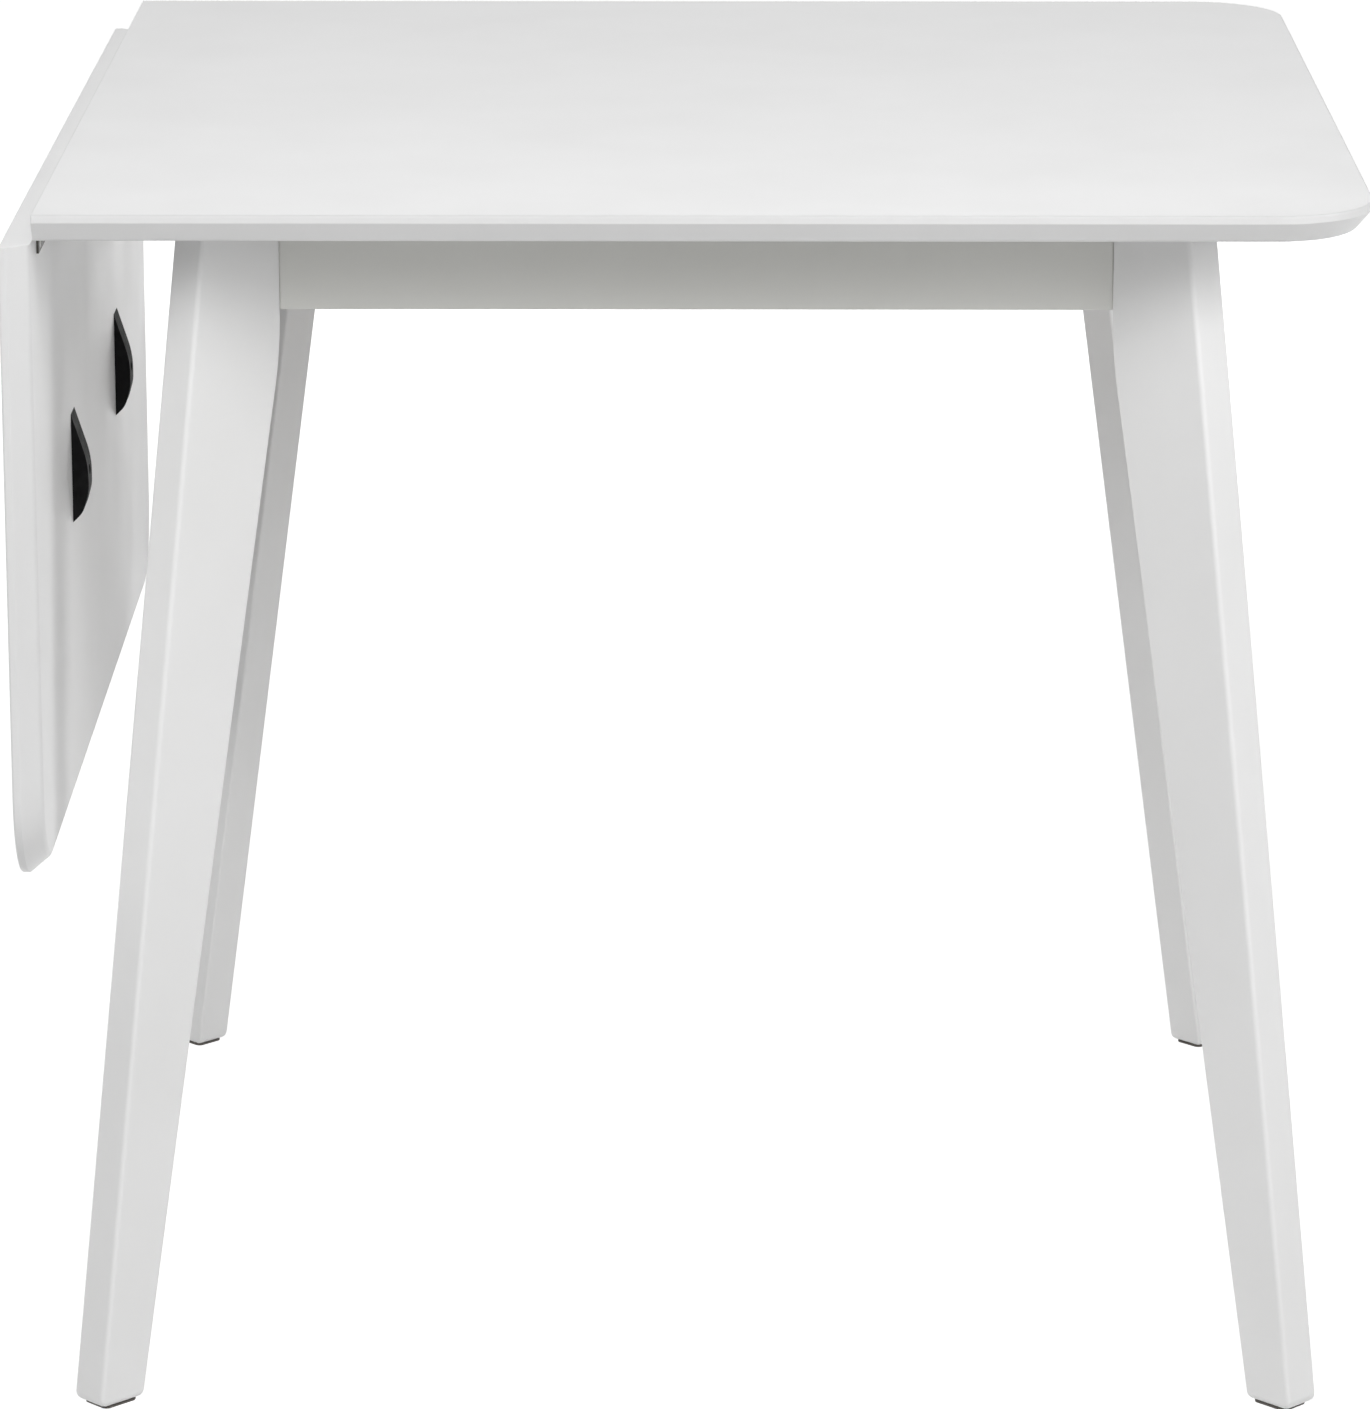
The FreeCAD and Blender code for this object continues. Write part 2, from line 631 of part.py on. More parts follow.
for corner in CORNERS:
    node(f"leg_{corner}", leg(corner))
    node(f"foot_glide_{corner}", foot_glide(corner))
    node(f"corner_block_{corner}", corner_block(corner))
for side in SIDE_TURN:
    holes = hanger_bolts("screwGap") + block_screws("screwGap")
    node(f"apron_{side}", apron(side, holes + support_notches() if side == "left" else holes))
node("hanger_bolts", group(hanger_bolts()))
node("leg_washers", on_bolts(rod, "washerRadius", "washerThickness", f"{BLOCK_FACE} - washerThickness"))
nut_start = f"{BLOCK_FACE} - washerThickness - nutHeight"
node("leg_nuts", on_bolts(hexagon, "nutRadius", "nutHeight", nut_start))
node("corner_block_screws", group(block_screws()))
node("top_screws", group(top_screws()))


# Pull-out supports


def channel_screws(gap="0"):
    screws = []
    for y in SUPPORTS.values():
        for step in (-1, 0, 1):
            x = f"{CHANNEL_TIP} + channelLength / 2 + {step} * channelHolePitch"
            screws.append(small_screw(x, y, f"{UNDERSIDE} - channelWall", UP, "channelWall", gap))
    return screws


def channel(y):
    """A rail under the top that holds the upper flange of a runner on two lips."""
    wide = "runnerHead + 2 * slideGap + 2 * channelWall"
    tall = f"{UNDERSIDE} - {LIP_TOP} + channelWall"
    shell = box("channelLength", wide, tall, CHANNEL_TIP, y, UNDERSIDE)
    room_height = f"{UNDERSIDE} - channelWall - {LIP_TOP}"
    room_width = "runnerHead + 2 * slideGap"
    room = box("channelLength", room_width, room_height, CHANNEL_TIP, y, f"{UNDERSIDE} - channelWall")
    mouth = box("channelLength", "runnerWeb + 2 * channelWall", "2 * channelWall", CHANNEL_TIP, y, LIP_TOP)
    return cut(shell, [room, mouth] + channel_screws("screwGap"))


def runner(y):
    """A rail with an upper flange in the channel and a lower flange in the slot of the bar."""
    head = box("runnerLength", "runnerHead", "runnerFlange", RUNNER_TIP, y, RUNNER_TOP)
    foot = box("runnerLength", "runnerFoot", "runnerFlange", RUNNER_TIP, y, FOOT_TOP)
    web = box("runnerLength", "runnerWeb", f"{RUNNER_TOP} - {FOOT_TOP}", RUNNER_TIP, y, RUNNER_TOP)
    return joined([head, foot, web])


def support_bar(where, y):
    """A wooden bar with a chamfered nose and a slot along its top for the runner."""
    profile = [
        ("0", "-barHeight"),
        ("barLength", "-barHeight"),
        ("barLength", "0"),
        ("barNose", "0"),
        ("0", "-barNose"),
    ]
    body = board(f"bar_{where}", "XZ_Plane", profile, "barWidth", symmetric=True)
    place(body, BAR_TIP, y, BAR_TOP)
    slot_length = f"{BAR_END} - {SLOT_TIP}"
    neck = box(slot_length, "runnerWeb + 2 * slideGap", "barNeck", SLOT_TIP, y, BAR_TOP)
    slot_width = "runnerFoot + 2 * slideGap"
    slot_height = "runnerFlange + 2 * slideGap"
    slot = box(slot_length, slot_width, slot_height, SLOT_TIP, y, f"{BAR_TOP} - barNeck")
    return cut(body, [neck, slot])


def batten_screws(gap="0"):
    """Screws up through the stop batten, one at each support."""
    screws = []
    x = f"{BATTEN_TIP} + battenThickness / 2"
    for y in SUPPORTS.values():
        screws.append(screw(x, y, f"{UNDERSIDE} - battenHeight", UP, "battenHeight + screwBite", gap))
    return screws


for where, y in SUPPORTS.items():
    node(f"slide_channel_{where}", channel(y))
    node(f"slide_runner_{where}", runner(y))
    node(f"support_bar_{where}", support_bar(where, y))
batten_width = f"2 * {SUPPORT_ASIDE} + barWidth + 2 * battenOverlap"
batten = box("battenThickness", batten_width, "battenHeight", BATTEN_TIP, "0", UNDERSIDE)
node("stop_batten", cut(batten, batten_screws("screwGap")))
node("stop_batten_screws", group(batten_screws()))
node("slide_channel_screws", group(channel_screws()))

# Top, with the holes of everything that is screwed to it

top_board = top_placed(table_board("top_board", "topLength"))
hinge_holes = top_placed(group(hinge_screws("screwGap") + hinge_reliefs()))
top_holes = top_screws("screwGap") + channel_screws("screwGap") + batten_screws("screwGap")
node("table_top", cut(top_board, [hinge_holes] + top_holes))

# Every object has to be sound before a file is written

doc.recompute()
faults = [obj.Label for obj in doc.Objects if {"Invalid", "Error"} & set(obj.State)]
faults += [obj.Label for obj in nodes if obj.Shape.isNull() or not obj.Shape.isValid()]
if faults:
    raise RuntimeError("not built: " + ", ".join(faults))
os.makedirs("parts", exist_ok=True)
for obj in nodes:
    obj.Shape.exportStep(f"parts/{obj.Label}.step")
    print(obj.Label, len(obj.Shape.Solids), round(obj.Shape.Volume / 1000, 2), "cm3")
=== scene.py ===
import json
import math

import bmesh
import bpy
import numpy as np
from bpy.props import FloatProperty, FloatVectorProperty, IntProperty, PointerProperty
from bpy.types import Operator, Panel, PropertyGroup
from mathutils import Matrix, Vector

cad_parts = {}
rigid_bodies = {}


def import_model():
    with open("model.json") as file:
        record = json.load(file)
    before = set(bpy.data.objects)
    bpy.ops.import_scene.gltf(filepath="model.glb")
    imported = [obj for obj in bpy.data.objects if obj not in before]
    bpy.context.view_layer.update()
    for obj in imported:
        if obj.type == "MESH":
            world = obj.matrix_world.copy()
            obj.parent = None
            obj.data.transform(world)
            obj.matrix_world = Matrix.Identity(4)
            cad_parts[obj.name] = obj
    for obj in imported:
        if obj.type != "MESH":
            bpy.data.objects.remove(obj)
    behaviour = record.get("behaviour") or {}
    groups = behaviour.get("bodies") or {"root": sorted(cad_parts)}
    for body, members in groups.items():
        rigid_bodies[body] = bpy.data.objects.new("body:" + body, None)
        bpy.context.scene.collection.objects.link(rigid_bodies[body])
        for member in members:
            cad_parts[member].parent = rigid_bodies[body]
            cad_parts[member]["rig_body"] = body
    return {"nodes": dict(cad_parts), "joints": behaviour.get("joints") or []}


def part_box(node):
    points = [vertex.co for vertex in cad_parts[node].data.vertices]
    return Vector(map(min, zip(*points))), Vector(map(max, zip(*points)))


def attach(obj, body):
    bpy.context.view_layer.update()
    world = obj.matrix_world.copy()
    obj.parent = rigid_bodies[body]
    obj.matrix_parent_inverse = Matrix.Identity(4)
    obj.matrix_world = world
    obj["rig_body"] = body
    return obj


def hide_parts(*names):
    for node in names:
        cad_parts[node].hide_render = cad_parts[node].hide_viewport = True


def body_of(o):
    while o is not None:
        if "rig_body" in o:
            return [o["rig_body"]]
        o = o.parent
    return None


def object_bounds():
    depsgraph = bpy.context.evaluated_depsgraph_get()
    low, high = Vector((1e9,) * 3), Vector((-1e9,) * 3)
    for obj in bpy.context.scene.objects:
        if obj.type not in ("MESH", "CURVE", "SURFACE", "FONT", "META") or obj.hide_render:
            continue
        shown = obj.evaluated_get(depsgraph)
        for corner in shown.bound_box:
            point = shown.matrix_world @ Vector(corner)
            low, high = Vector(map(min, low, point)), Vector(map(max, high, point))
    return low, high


bl_info = {
    "name": "Drop-leaf dining table",
    "version": (1, 0, 0),
    "blender": (4, 5, 0),
    "location": "3D View > Sidebar > Table",
    "description": "Finishes a white drop-leaf dining table around its packed frame",
    "category": "Object",
}

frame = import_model()
CAD_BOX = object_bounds()

CORNERS = {"front_left": (-1, -1), "front_right": (1, -1), "back_right": (1, 1), "back_left": (-1, 1)}
SIDE_TURNS = {"front": 0, "right": 90, "back": 180, "left": 270}
HINGES = ("front", "middle", "back")
SUPPORTS = ("front", "back")
FRAME_MIDDLE = (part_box("leg_front_left")[0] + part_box("leg_back_right")[1]) / 2
PIVOT = Vector(next(j["pos_m"] for j in frame["joints"] if j["name"] == "leaf_hinge"))

# Points nearer than this are one point, in metres
WELD = 1e-5
# Faces that meet at more than this make a visible edge
SHARP = math.radians(35)
# Faces that meet at less than this are one flat face
FLAT = math.radians(0.5)
# Points of a turned piece nearer than this are one point
FINE_WELD = WELD / 10
# Facets of an eased edge, and of one that is round enough to see
EASE_STEPS = 2
SOFT_STEPS = 3
# Facets of a rod that makes room for a hinge
ROD_STEPS = 32
# A screw's head is this many rims high
RIMS_PER_HEAD = 12
# How the two bars of a screw's cross are turned, in degrees, and how they narrow to their bottom
CROSS_TURNS = (45, 135)
CROSS_TAPER = (0.45, 0.7, 1)
# The mesh layer that says how far each edge is rounded
BEVEL_WEIGHT = "bevel_weight_edge"

# Sizes and colours that a user may change


def length(name, text, default):
    """A property that holds a length in metres."""
    return FloatProperty(name=name, description=text, default=default, min=0, precision=5, unit="LENGTH")


def colour(name, text, default):
    """A property that holds a linear colour."""
    return FloatVectorProperty(
        name=name, description=text, default=default, min=0, max=1, size=3, subtype="COLOR"
    )


def number(name, text, default):
    """A property that holds a plain number."""
    return FloatProperty(name=name, description=text, default=default)


def factor(name, text, default):
    """A property that holds a share of something."""
    return FloatProperty(name=name, description=text, default=default, subtype="FACTOR")


def angle(name, text, degrees):
    """A property that holds an angle, given here in degrees."""
    return FloatProperty(name=name, description=text, default=math.radians(degrees), unit="ROTATION")


def watts(name, text, default):
    """A property that holds the power of a lamp."""
    return FloatProperty(name=name, description=text, default=default, unit="POWER")


def facets(name, text, default, least=1):
    """A property that counts the facets of something round."""
    return IntProperty(name=name, description=text, default=default, min=least)


class BoardSizes(PropertyGroup):
    """Edges of the top and the leaf"""

    corner_radius: length("Corner radius", "Free corners of the boards", 0.062)
    bevel_height: length("Bevel height", "Height of the bevel under the lip", 0.013)
    bevel_run: length("Bevel run", "How far the bevel runs in under the board", 0.011)
    lip_round: length("Lip rounding", "Radius along the upper edge", 0.0016)
    crease_round: length("Crease rounding", "Radius between lip and bevel", 0.0010)
    under_round: length("Underside rounding", "Radius between bevel and underside", 0.006)
    hinge_round: length("Hinge edge rounding", "How far the edges at the hinges are eased", 0.0007)
    knuckle_room: length("Knuckle room", "Radius of the recess round a hinge", 0.0038)
    knuckle_gap: length("Knuckle gap", "Room at the ends of a hinge", 0.0003)
    corner_steps: facets("Corner steps", "Facets of a rounded corner", 28, least=4)
    edge_steps: facets("Edge steps", "Facets of a rounded edge", 5)


class LegSizes(PropertyGroup):
    """Edges of the legs and aprons"""

    knee_drop: length("Knee drop", "The inner edge stays upright this far below the top", 0.090)
    knee_round: length("Knee rounding", "Bend of the inner edge", 0.200)
    outer_round: length("Outer rounding", "Radius along the outer edges", 0.003)
    inner_round: length("Inner rounding", "Radius along the inner edges", 0.0016)
    foot_round: length("Foot rounding", "Radius round the foot", 0.0045)
    toe_round: length("Toe rounding", "Radius under the outer edge of the foot", 0.007)
    apron_round: length("Apron rounding", "How far the apron's edges are eased", 0.0011)
    notch_gap: length("Notch gap", "Room in the apron round a support bar", 0.0015)
    round_steps: facets("Edge steps", "Facets of a rounded edge", 6)


class FittingSizes(PropertyGroup):
    """Edges and drives of the metal and plastic fittings"""

    plate_edge: length("Plate edge", "How far plates, pins and rails are eased", 0.00025)
    nut_edge: length("Nut edge", "How far nuts and washers are eased", 0.0004)
    pad_edge: length("Pad edge", "Rounding of the moulded pads", 0.0006)
    glide_edge: length("Glide edge", "Rounding of the glides", 0.0006)
    block_edge: length("Block edge", "Rounding of corner blocks and batten", 0.0010)
    bar_edge: length("Bar edge", "Rounding of the support bars", 0.0016)
    recess_share: factor("Recess", "Width of a screw's cross against its head", 0.62)
    recess_arm: factor("Recess arm", "Thickness of the cross against its width", 0.24)
    thread_pitch: length("Thread pitch", "One turn of the leg bolts", 0.00125)
    thread_depth: length("Thread depth", "Crest to root of the leg bolts", 0.00065)
    thread_length: length("Thread length", "Threaded end of the leg bolts", 0.0125)
    turn_steps: facets("Turn steps", "Facets of a screw head", 28, least=8)


class FinishColours(PropertyGroup):
    """Colours of the finishes"""

    lacquer: colour("Board lacquer", "White lacquer of top and leaf", (0.80, 0.80, 0.80))
    lacquer_shade: colour(
        "Board lacquer shade", "The same where it is a little thinner", (0.775, 0.775, 0.773)
    )
    # The legs' white lacquer is set lighter than the boards' as painted light, to brighten the legs
    painted_light_wood_lacquer: colour("Wood lacquer", "White lacquer of the legs", (0.88, 0.88, 0.878))
    painted_light_wood_lacquer_shade: colour(
        "Wood lacquer shade", "The same where the grain drinks it", (0.85, 0.85, 0.846)
    )
    # The aprons' white lacquer is set darker and warmer as painted shade, for the shade under the top's
    # overhang
    painted_shade_apron_lacquer: colour("Apron lacquer", "Flatter white lacquer of the aprons", (0.73, 0.73, 0.70))
    painted_shade_apron_lacquer_shade: colour(
        "Apron lacquer shade", "The same where it is thinner", (0.70, 0.70, 0.668)
    )
    beech: colour("Beech", "Planed beech", (0.60, 0.42, 0.26))
    beech_shade: colour("Beech figure", "Darker lines in the beech", (0.44, 0.28, 0.16))
    plastic: colour("Plastic", "Moulded pads", (0.005, 0.005, 0.0055))
    plastic_shade: colour("Plastic bloom", "Moulded pads where they are rubbed", (0.012, 0.012, 0.0125))
    glide: colour("Glide", "Nylon glides", (0.075, 0.066, 0.058))
    glide_shade: colour("Glide scuff", "Nylon glides where they are scuffed", (0.11, 0.098, 0.088))
    hinge: colour("Hinge", "Oiled steel of the hinges", (0.13, 0.125, 0.115))
    hinge_shade: colour("Hinge shade", "Darker patches of the oiled steel", (0.075, 0.07, 0.064))
    zinc: colour("Zinc", "Plated screws and bolts", (0.62, 0.62, 0.60))
    zinc_shade: colour("Zinc shade", "Duller patches of the plating", (0.50, 0.50, 0.47))
    aluminium: colour("Aluminium", "Rails of the supports", (0.74, 0.75, 0.76))
    aluminium_shade: colour("Aluminium shade", "Duller patches of the rails", (0.62, 0.63, 0.64))


class StageSettings(PropertyGroup):
    """Camera, lamps and floor"""

    camera_place: FloatVectorProperty(
        name="Camera", description="Where the camera stands",
        default=(0.0174, -4.2904, 1.5107), unit="LENGTH",
    )
    camera_tilt: angle("Tilt", "How far the camera looks down", 15.103)
    camera_turn: angle("Turn", "How far the camera turns left", 0.295)
    focal_length: number("Lens", "Focal length in millimetres", 170.8)
    front_power: watts("Front lamp", "Watts from near the front", 17)
    front_left_power: watts("Front left lamp", "Watts from in front on the left", 45)
    front_right_power: watts("Front right lamp", "Watts from near the front right corner", 34)
    left_power: watts("Left lamp", "Watts from high on the left", 8)
    side_power: watts("Side lamp", "Watts from behind on the left, as low as the leaf", 45)
    back_power: watts("Back lamp", "Watts from high behind", 23.5)
    low_back_power: watts("Low back lamp", "Watts from behind, below the top", 21)
    sky: number("Room light", "Level of the light from all round", 0.12)
    floor_size: length("Floor size", "Half the side of the floor", 40.0)
    floor: colour("Floor", "Pale floor", (0.80, 0.80, 0.80))
    floor_seen: colour(
        "Floor seen", "Share of the floor's own light that the camera sees", (0.35, 0.35, 0.35)
    )
    floor_glow: number("Floor glow", "White that the camera adds to the floor at the table", 0.88)
    far_glow: number("Far glow", "White that the camera adds to the floor far away", 0.97)
    near_reach: length("Near floor", "The floor begins to whiten this far away", 1.5)
    far_reach: length("Far floor", "The floor is white from here", 4.5)


# Shapes


def outline(points):
    """A shape of one face through the points."""
    shape = bmesh.new()
    shape.faces.new([shape.verts.new(point) for point in points])
    return shape


def round_corners(shape, corners, reach, steps):
    """Rounds corners of a flat outline, each from this far along its two sides."""
    bmesh.ops.bevel(
        shape, geom=corners, offset=reach, offset_type="OFFSET", affect="VERTICES",
        segments=steps, profile=0.5, material=-1,
    )


def pull(shape, offset):
    """Pulls a flat outline along an offset into a closed block."""
    pulled = bmesh.ops.extrude_face_region(shape, geom=shape.faces[:])
    points = [item for item in pulled["geom"] if isinstance(item, bmesh.types.BMVert)]
    bmesh.ops.translate(shape, verts=points, vec=offset)
    bmesh.ops.recalc_face_normals(shape, faces=shape.faces[:])


def saw(shape, point, normal):
    """Cuts a block along a plane, drops what the normal points to and closes the cut."""
    everything = shape.verts[:] + shape.edges[:] + shape.faces[:]
    cut = bmesh.ops.bisect_plane(
        shape, geom=everything, dist=WELD, plane_co=point, plane_no=normal, clear_outer=True
    )
    rim = [item for item in cut["geom_cut"] if isinstance(item, bmesh.types.BMEdge)]
    bmesh.ops.holes_fill(shape, edges=rim)
    bmesh.ops.recalc_face_normals(shape, faces=shape.faces[:])


def sharp(edge):
    """True where two faces meet at a visible edge."""
    return len(edge.link_faces) == 2 and edge.calc_face_angle() > SHARP


def ease(shape, edges, width, steps=EASE_STEPS):
    """Rounds edges that all get the same width."""
    bmesh.ops.bevel(
        shape, geom=edges, offset=width, offset_type="OFFSET", affect="EDGES",
        segments=steps, profile=0.5, material=-1, clamp_overlap=True,
    )


def held(shape, name):
    """An object at the origin that holds a shape."""
    mesh = bpy.data.meshes.new(name)
    shape.to_mesh(mesh)
    shape.free()
    holder = bpy.data.objects.new(name, mesh)
    bpy.context.scene.collection.objects.link(holder)
    return holder


def dropped(holder):
    """Takes an object and its mesh away."""
    mesh = holder.data
    bpy.data.objects.remove(holder)
    bpy.data.meshes.remove(mesh)


def worked(holder):
    """The shape that an object's modifiers make. The object goes."""
    seen = holder.evaluated_get(bpy.context.evaluated_depsgraph_get())
    mesh = bpy.data.meshes.new_from_object(seen)
    shape = bmesh.new()
    shape.from_mesh(mesh)
    bpy.data.meshes.remove(mesh)
    dropped(holder)
    return shape


def rounded(shape, offsets, steps):
    """The shape with each edge rounded by its own offset, from a table of edge to offset."""
    widest = max(offsets.values())
    shape.edges.index_update()
    shares = {edge.index: offset / widest for edge, offset in offsets.items()}
    weight = shape.edges.layers.float.new(BEVEL_WEIGHT)
    for edge in shape.edges:
        edge[weight] = shares.get(edge.index, 0)
    holder = held(shape, "rounding")
    bevel = holder.modifiers.new("rounding", "BEVEL")
    bevel.affect = "EDGES"
    bevel.limit_method = "WEIGHT"
    bevel.width = widest
    bevel.segments = steps
    bevel.profile = 0.5
    bevel.material = -1
    bevel.use_clamp_overlap = False
    return worked(holder)


def carved(shape, cutter):
    """The shape with the cutter's volume taken away."""
    block = held(shape, "block")
    tool = held(cutter, "cutter")
    cut = block.modifiers.new("cut", "BOOLEAN")
    cut.operation = "DIFFERENCE"
    cut.solver = "EXACT"
    cut.object = tool
    rest = worked(block)
    dropped(tool)
    return rest


def joined_copy(node):
    """A copy of a node's shape with its loose triangles joined into whole faces."""
    shape = bmesh.new()
    shape.from_mesh(frame["nodes"][node].data)
    bmesh.ops.remove_doubles(shape, verts=shape.verts[:], dist=WELD)
    bmesh.ops.dissolve_limit(shape, angle_limit=FLAT, verts=shape.verts[:], edges=shape.edges[:])
    return shape


def eased_copy(node, width, steps=EASE_STEPS):
    """A copy of a node's shape with its sharp edges rounded."""
    shape = joined_copy(node)
    ease(shape, [edge for edge in shape.edges if sharp(edge)], width, steps)
    return shape


def corner_place(corner):
    """From a corner's own frame, with x out along its diagonal, to the table's."""
    right, back = CORNERS[corner]
    turn = Matrix.Rotation(math.atan2(back, right), 4, "Z")
    return Matrix.Translation((FRAME_MIDDLE.x, FRAME_MIDDLE.y, 0)) @ turn


def as_piece(shape, name, finish_name, *nodes):
    """A finished piece that stands for CAD nodes, on their body and with their finish."""
    material, slot = finish(finish_name)
    piece = held(shape, name)
    mesh = piece.data
    for attribute in [a for a in mesh.attributes if a.name in ("custom_normal", BEVEL_WEIGHT)]:
        mesh.attributes.remove(attribute)
    mesh.materials.clear()
    mesh.materials.append(material)
    mesh.shade_smooth()
    mesh.set_sharp_from_angle(angle=SHARP)
    shading = piece.modifiers.new("even_shading", "WEIGHTED_NORMAL")
    shading.keep_sharp = True
    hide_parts(*nodes)
    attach(piece, body_of(frame["nodes"][nodes[0]])[0])


# Top and leaf


def board_shape(reach, depth, thickness, sizes):
    """A board from its hinge edge at x = 0 and its underside at z = 0, with three bevelled edges."""
    half = depth / 2
    plan = [(0, -half), (reach, -half), (reach, half), (0, half)]
    shape = outline([(x, y, sizes.bevel_height) for x, y in plan])
    free_corners = [v for v in shape.verts if v.co.x > WELD]
    round_corners(shape, free_corners, sizes.corner_radius, sizes.corner_steps)
    pull(shape, (0, 0, thickness - sizes.bevel_height))
    lower = min(shape.faces, key=lambda face: face.calc_center_median().z)
    bmesh.ops.inset_region(
        shape, faces=[lower], thickness=sizes.bevel_run, use_even_offset=True, use_boundary=True
    )
    for point in lower.verts:
        point.co.z = 0
        if point.co.x < sizes.bevel_run + WELD:
            point.co.x = 0
    return rounded(shape, board_edges(shape, thickness, sizes), sizes.edge_steps)


def board_edges(shape, thickness, sizes):
    """How far each edge of a board is rounded."""
    lip_turn = math.atan2(sizes.bevel_run, sizes.bevel_height)
    under_turn = math.pi / 2 - lip_turn
    levels = {
        thickness: sizes.lip_round,
        sizes.bevel_height: sizes.crease_round * math.tan(lip_turn / 2),
        0: sizes.under_round * math.tan(under_turn / 2),
    }
    offsets = {}
    for edge in shape.edges:
        if all(abs(v.co.x) < WELD for v in edge.verts):
            if sharp(edge):
                offsets[edge] = sizes.hinge_round
            continue
        for level, offset in levels.items():
            if all(abs(v.co.z - level) < WELD for v in edge.verts):
                offsets[edge] = offset
    return offsets


def knuckle_recesses(sizes):
    """Rods that make room in the boards for the hinges."""
    shape = bmesh.new()
    along_y = Matrix.Rotation(math.radians(90), 4, "X")
    for where in HINGES:
        low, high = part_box(f"hinge_{where}_pin")
        middle = Matrix.Translation((PIVOT.x, (low.y + high.y) / 2, PIVOT.z))
        bmesh.ops.create_cone(
            shape, cap_ends=True, segments=ROD_STEPS, radius1=sizes.knuckle_room,
            radius2=sizes.knuckle_room, depth=high.y - low.y + 2 * sizes.knuckle_gap,
            matrix=middle @ along_y,
        )
    return shape


def make_board(name, node, board_sizes, place, sizes):
    """One board, shaped flat and then put in its place."""
    shape = board_shape(*board_sizes, sizes)
    bmesh.ops.transform(shape, matrix=place, verts=shape.verts[:])
    as_piece(carved(shape, knuckle_recesses(sizes)), name, "satin_white_board", node)


class TABLE_OT_boards(Operator):
    """Makes the top and the leaf: lacquered boards with a thin lip over a deep bevel"""

    bl_idname = "table.boards"
    bl_label = "Top and leaf"

    def execute(self, context):
        sizes = context.scene.table_boards
        low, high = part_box("table_top")
        place = Matrix.Translation((low.x, 0, low.z))
        make_board("top_board", "table_top", high - low, place, sizes)
        low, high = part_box("drop_leaf")
        hanging = Matrix(((0, 0, -1, 0), (0, -1, 0, 0), (-1, 0, 0, 0), (0, 0, 0, 1)))
        place = Matrix.Translation((high.x, 0, high.z)) @ hanging
        spread = high - low
        make_board("leaf_board", "drop_leaf", (spread.z, spread.y, spread.x), place, sizes)
        return {"FINISHED"}


# Legs and aprons


def leg_shape(node, place, sizes):
    """A flat splayed board in its corner's own frame, with its long edges and foot rounded."""
    back = place.inverted()
    points = [back @ v.co for v in frame["nodes"][node].data.vertices]
    top = max(p.z for p in points)
    foot = min(p.z for p in points)
    half = max(p.y for p in points)
    top_reaches = [p.x for p in points if p.z > top - WELD]
    foot_reaches = [p.x for p in points if p.z < foot + WELD]
    knee = top - sizes.knee_drop
    profile = [
        (min(top_reaches), top),
        (min(top_reaches), knee),
        (min(foot_reaches), foot),
        (max(foot_reaches), foot),
        (max(top_reaches), top),
    ]
    shape = outline([(x, -half, z) for x, z in profile])
    shape.verts.ensure_lookup_table()
    bend = math.atan2(min(foot_reaches) - min(top_reaches), knee - foot)
    knee_reach = sizes.knee_round * math.tan(bend / 2)
    round_corners(shape, [shape.verts[1]], knee_reach, sizes.round_steps)
    pull(shape, (0, 2 * half, 0))
    outer_ends = (profile[3], profile[4])
    offsets = {}
    for edge in shape.edges:
        first, second = (v.co for v in edge.verts)
        if all(at_one_of(v.co, profile[3:4]) for v in edge.verts):
            offsets[edge] = sizes.toe_round
        elif abs(first.z - foot) < WELD and abs(second.z - foot) < WELD:
            offsets[edge] = sizes.foot_round
        elif abs(first.y - second.y) > WELD or abs(first.z - second.z) < WELD:
            continue
        elif all(at_one_of(v.co, outer_ends) for v in edge.verts):
            offsets[edge] = sizes.outer_round
        else:
            offsets[edge] = sizes.inner_round
    return rounded(shape, offsets, sizes.round_steps)


def at_one_of(point, ends):
    """True where a point lies at one of the x and z pairs."""
    return any(abs(point.x - x) < WELD and abs(point.z - z) < WELD for x, z in ends)


class TABLE_OT_legs(Operator):
    """Makes the four flat splayed legs, rounded along their edges and round the foot"""

    bl_idname = "table.legs"
    bl_label = "Legs"

    def execute(self, context):
        for corner in CORNERS:
            place = corner_place(corner)
            shape = leg_shape(f"leg_{corner}", place, context.scene.table_legs)
            bmesh.ops.transform(shape, matrix=place, verts=shape.verts[:])
            # The legs take the lighter lacquer, which is painted light
            as_piece(shape, f"leg_board_{corner}", "satin_white_wood", f"leg_{corner}")
        return {"FINISHED"}


class TABLE_OT_glides(Operator):
    """Makes the thin nylon glides under the feet"""

    bl_idname = "table.glides"
    bl_label = "Glides"

    def execute(self, context):
        for corner in CORNERS:
            node = f"foot_glide_{corner}"
            shape = eased_copy(node, context.scene.table_fittings.glide_edge)
            as_piece(shape, f"nylon_glide_{corner}", "nylon_glide", node)
        return {"FINISHED"}


def support_notches(top, gap):
    """Points of the notches in the upper edge of the left apron, from right to left."""
    points = []
    for where in SUPPORTS:
        low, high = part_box(f"support_bar_{where}")
        right, left, bottom = gap - low.y, -gap - high.y, low.z - gap
        points += [(right, top), (right, bottom), (left, bottom), (left, top)]
    return points


def apron_shape(side, sizes):
    """A board in the front apron's place, mitred at its ends and cut back where the legs stand."""
    low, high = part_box("apron_front")
    tip = (high.x - low.x) / 2
    notches = support_notches(high.z, sizes.notch_gap) if side == "left" else []
    face = [(-tip, low.z), (tip, low.z), (tip, high.z), *notches, (-tip, high.z)]
    shape = outline([(x, low.y, z) for x, z in face])
    pull(shape, (0, high.y - low.y, 0))
    for end in (-1, 1):
        saw(shape, (0, 0, 0), (end, 1, 0))
        saw(shape, (end * tip, -tip, 0), (end, -1, 0))
    free_edges = [e for e in shape.edges if sharp(e) and min(v.co.z for v in e.verts) < high.z - WELD]
    ease(shape, free_edges, sizes.apron_round)
    return shape


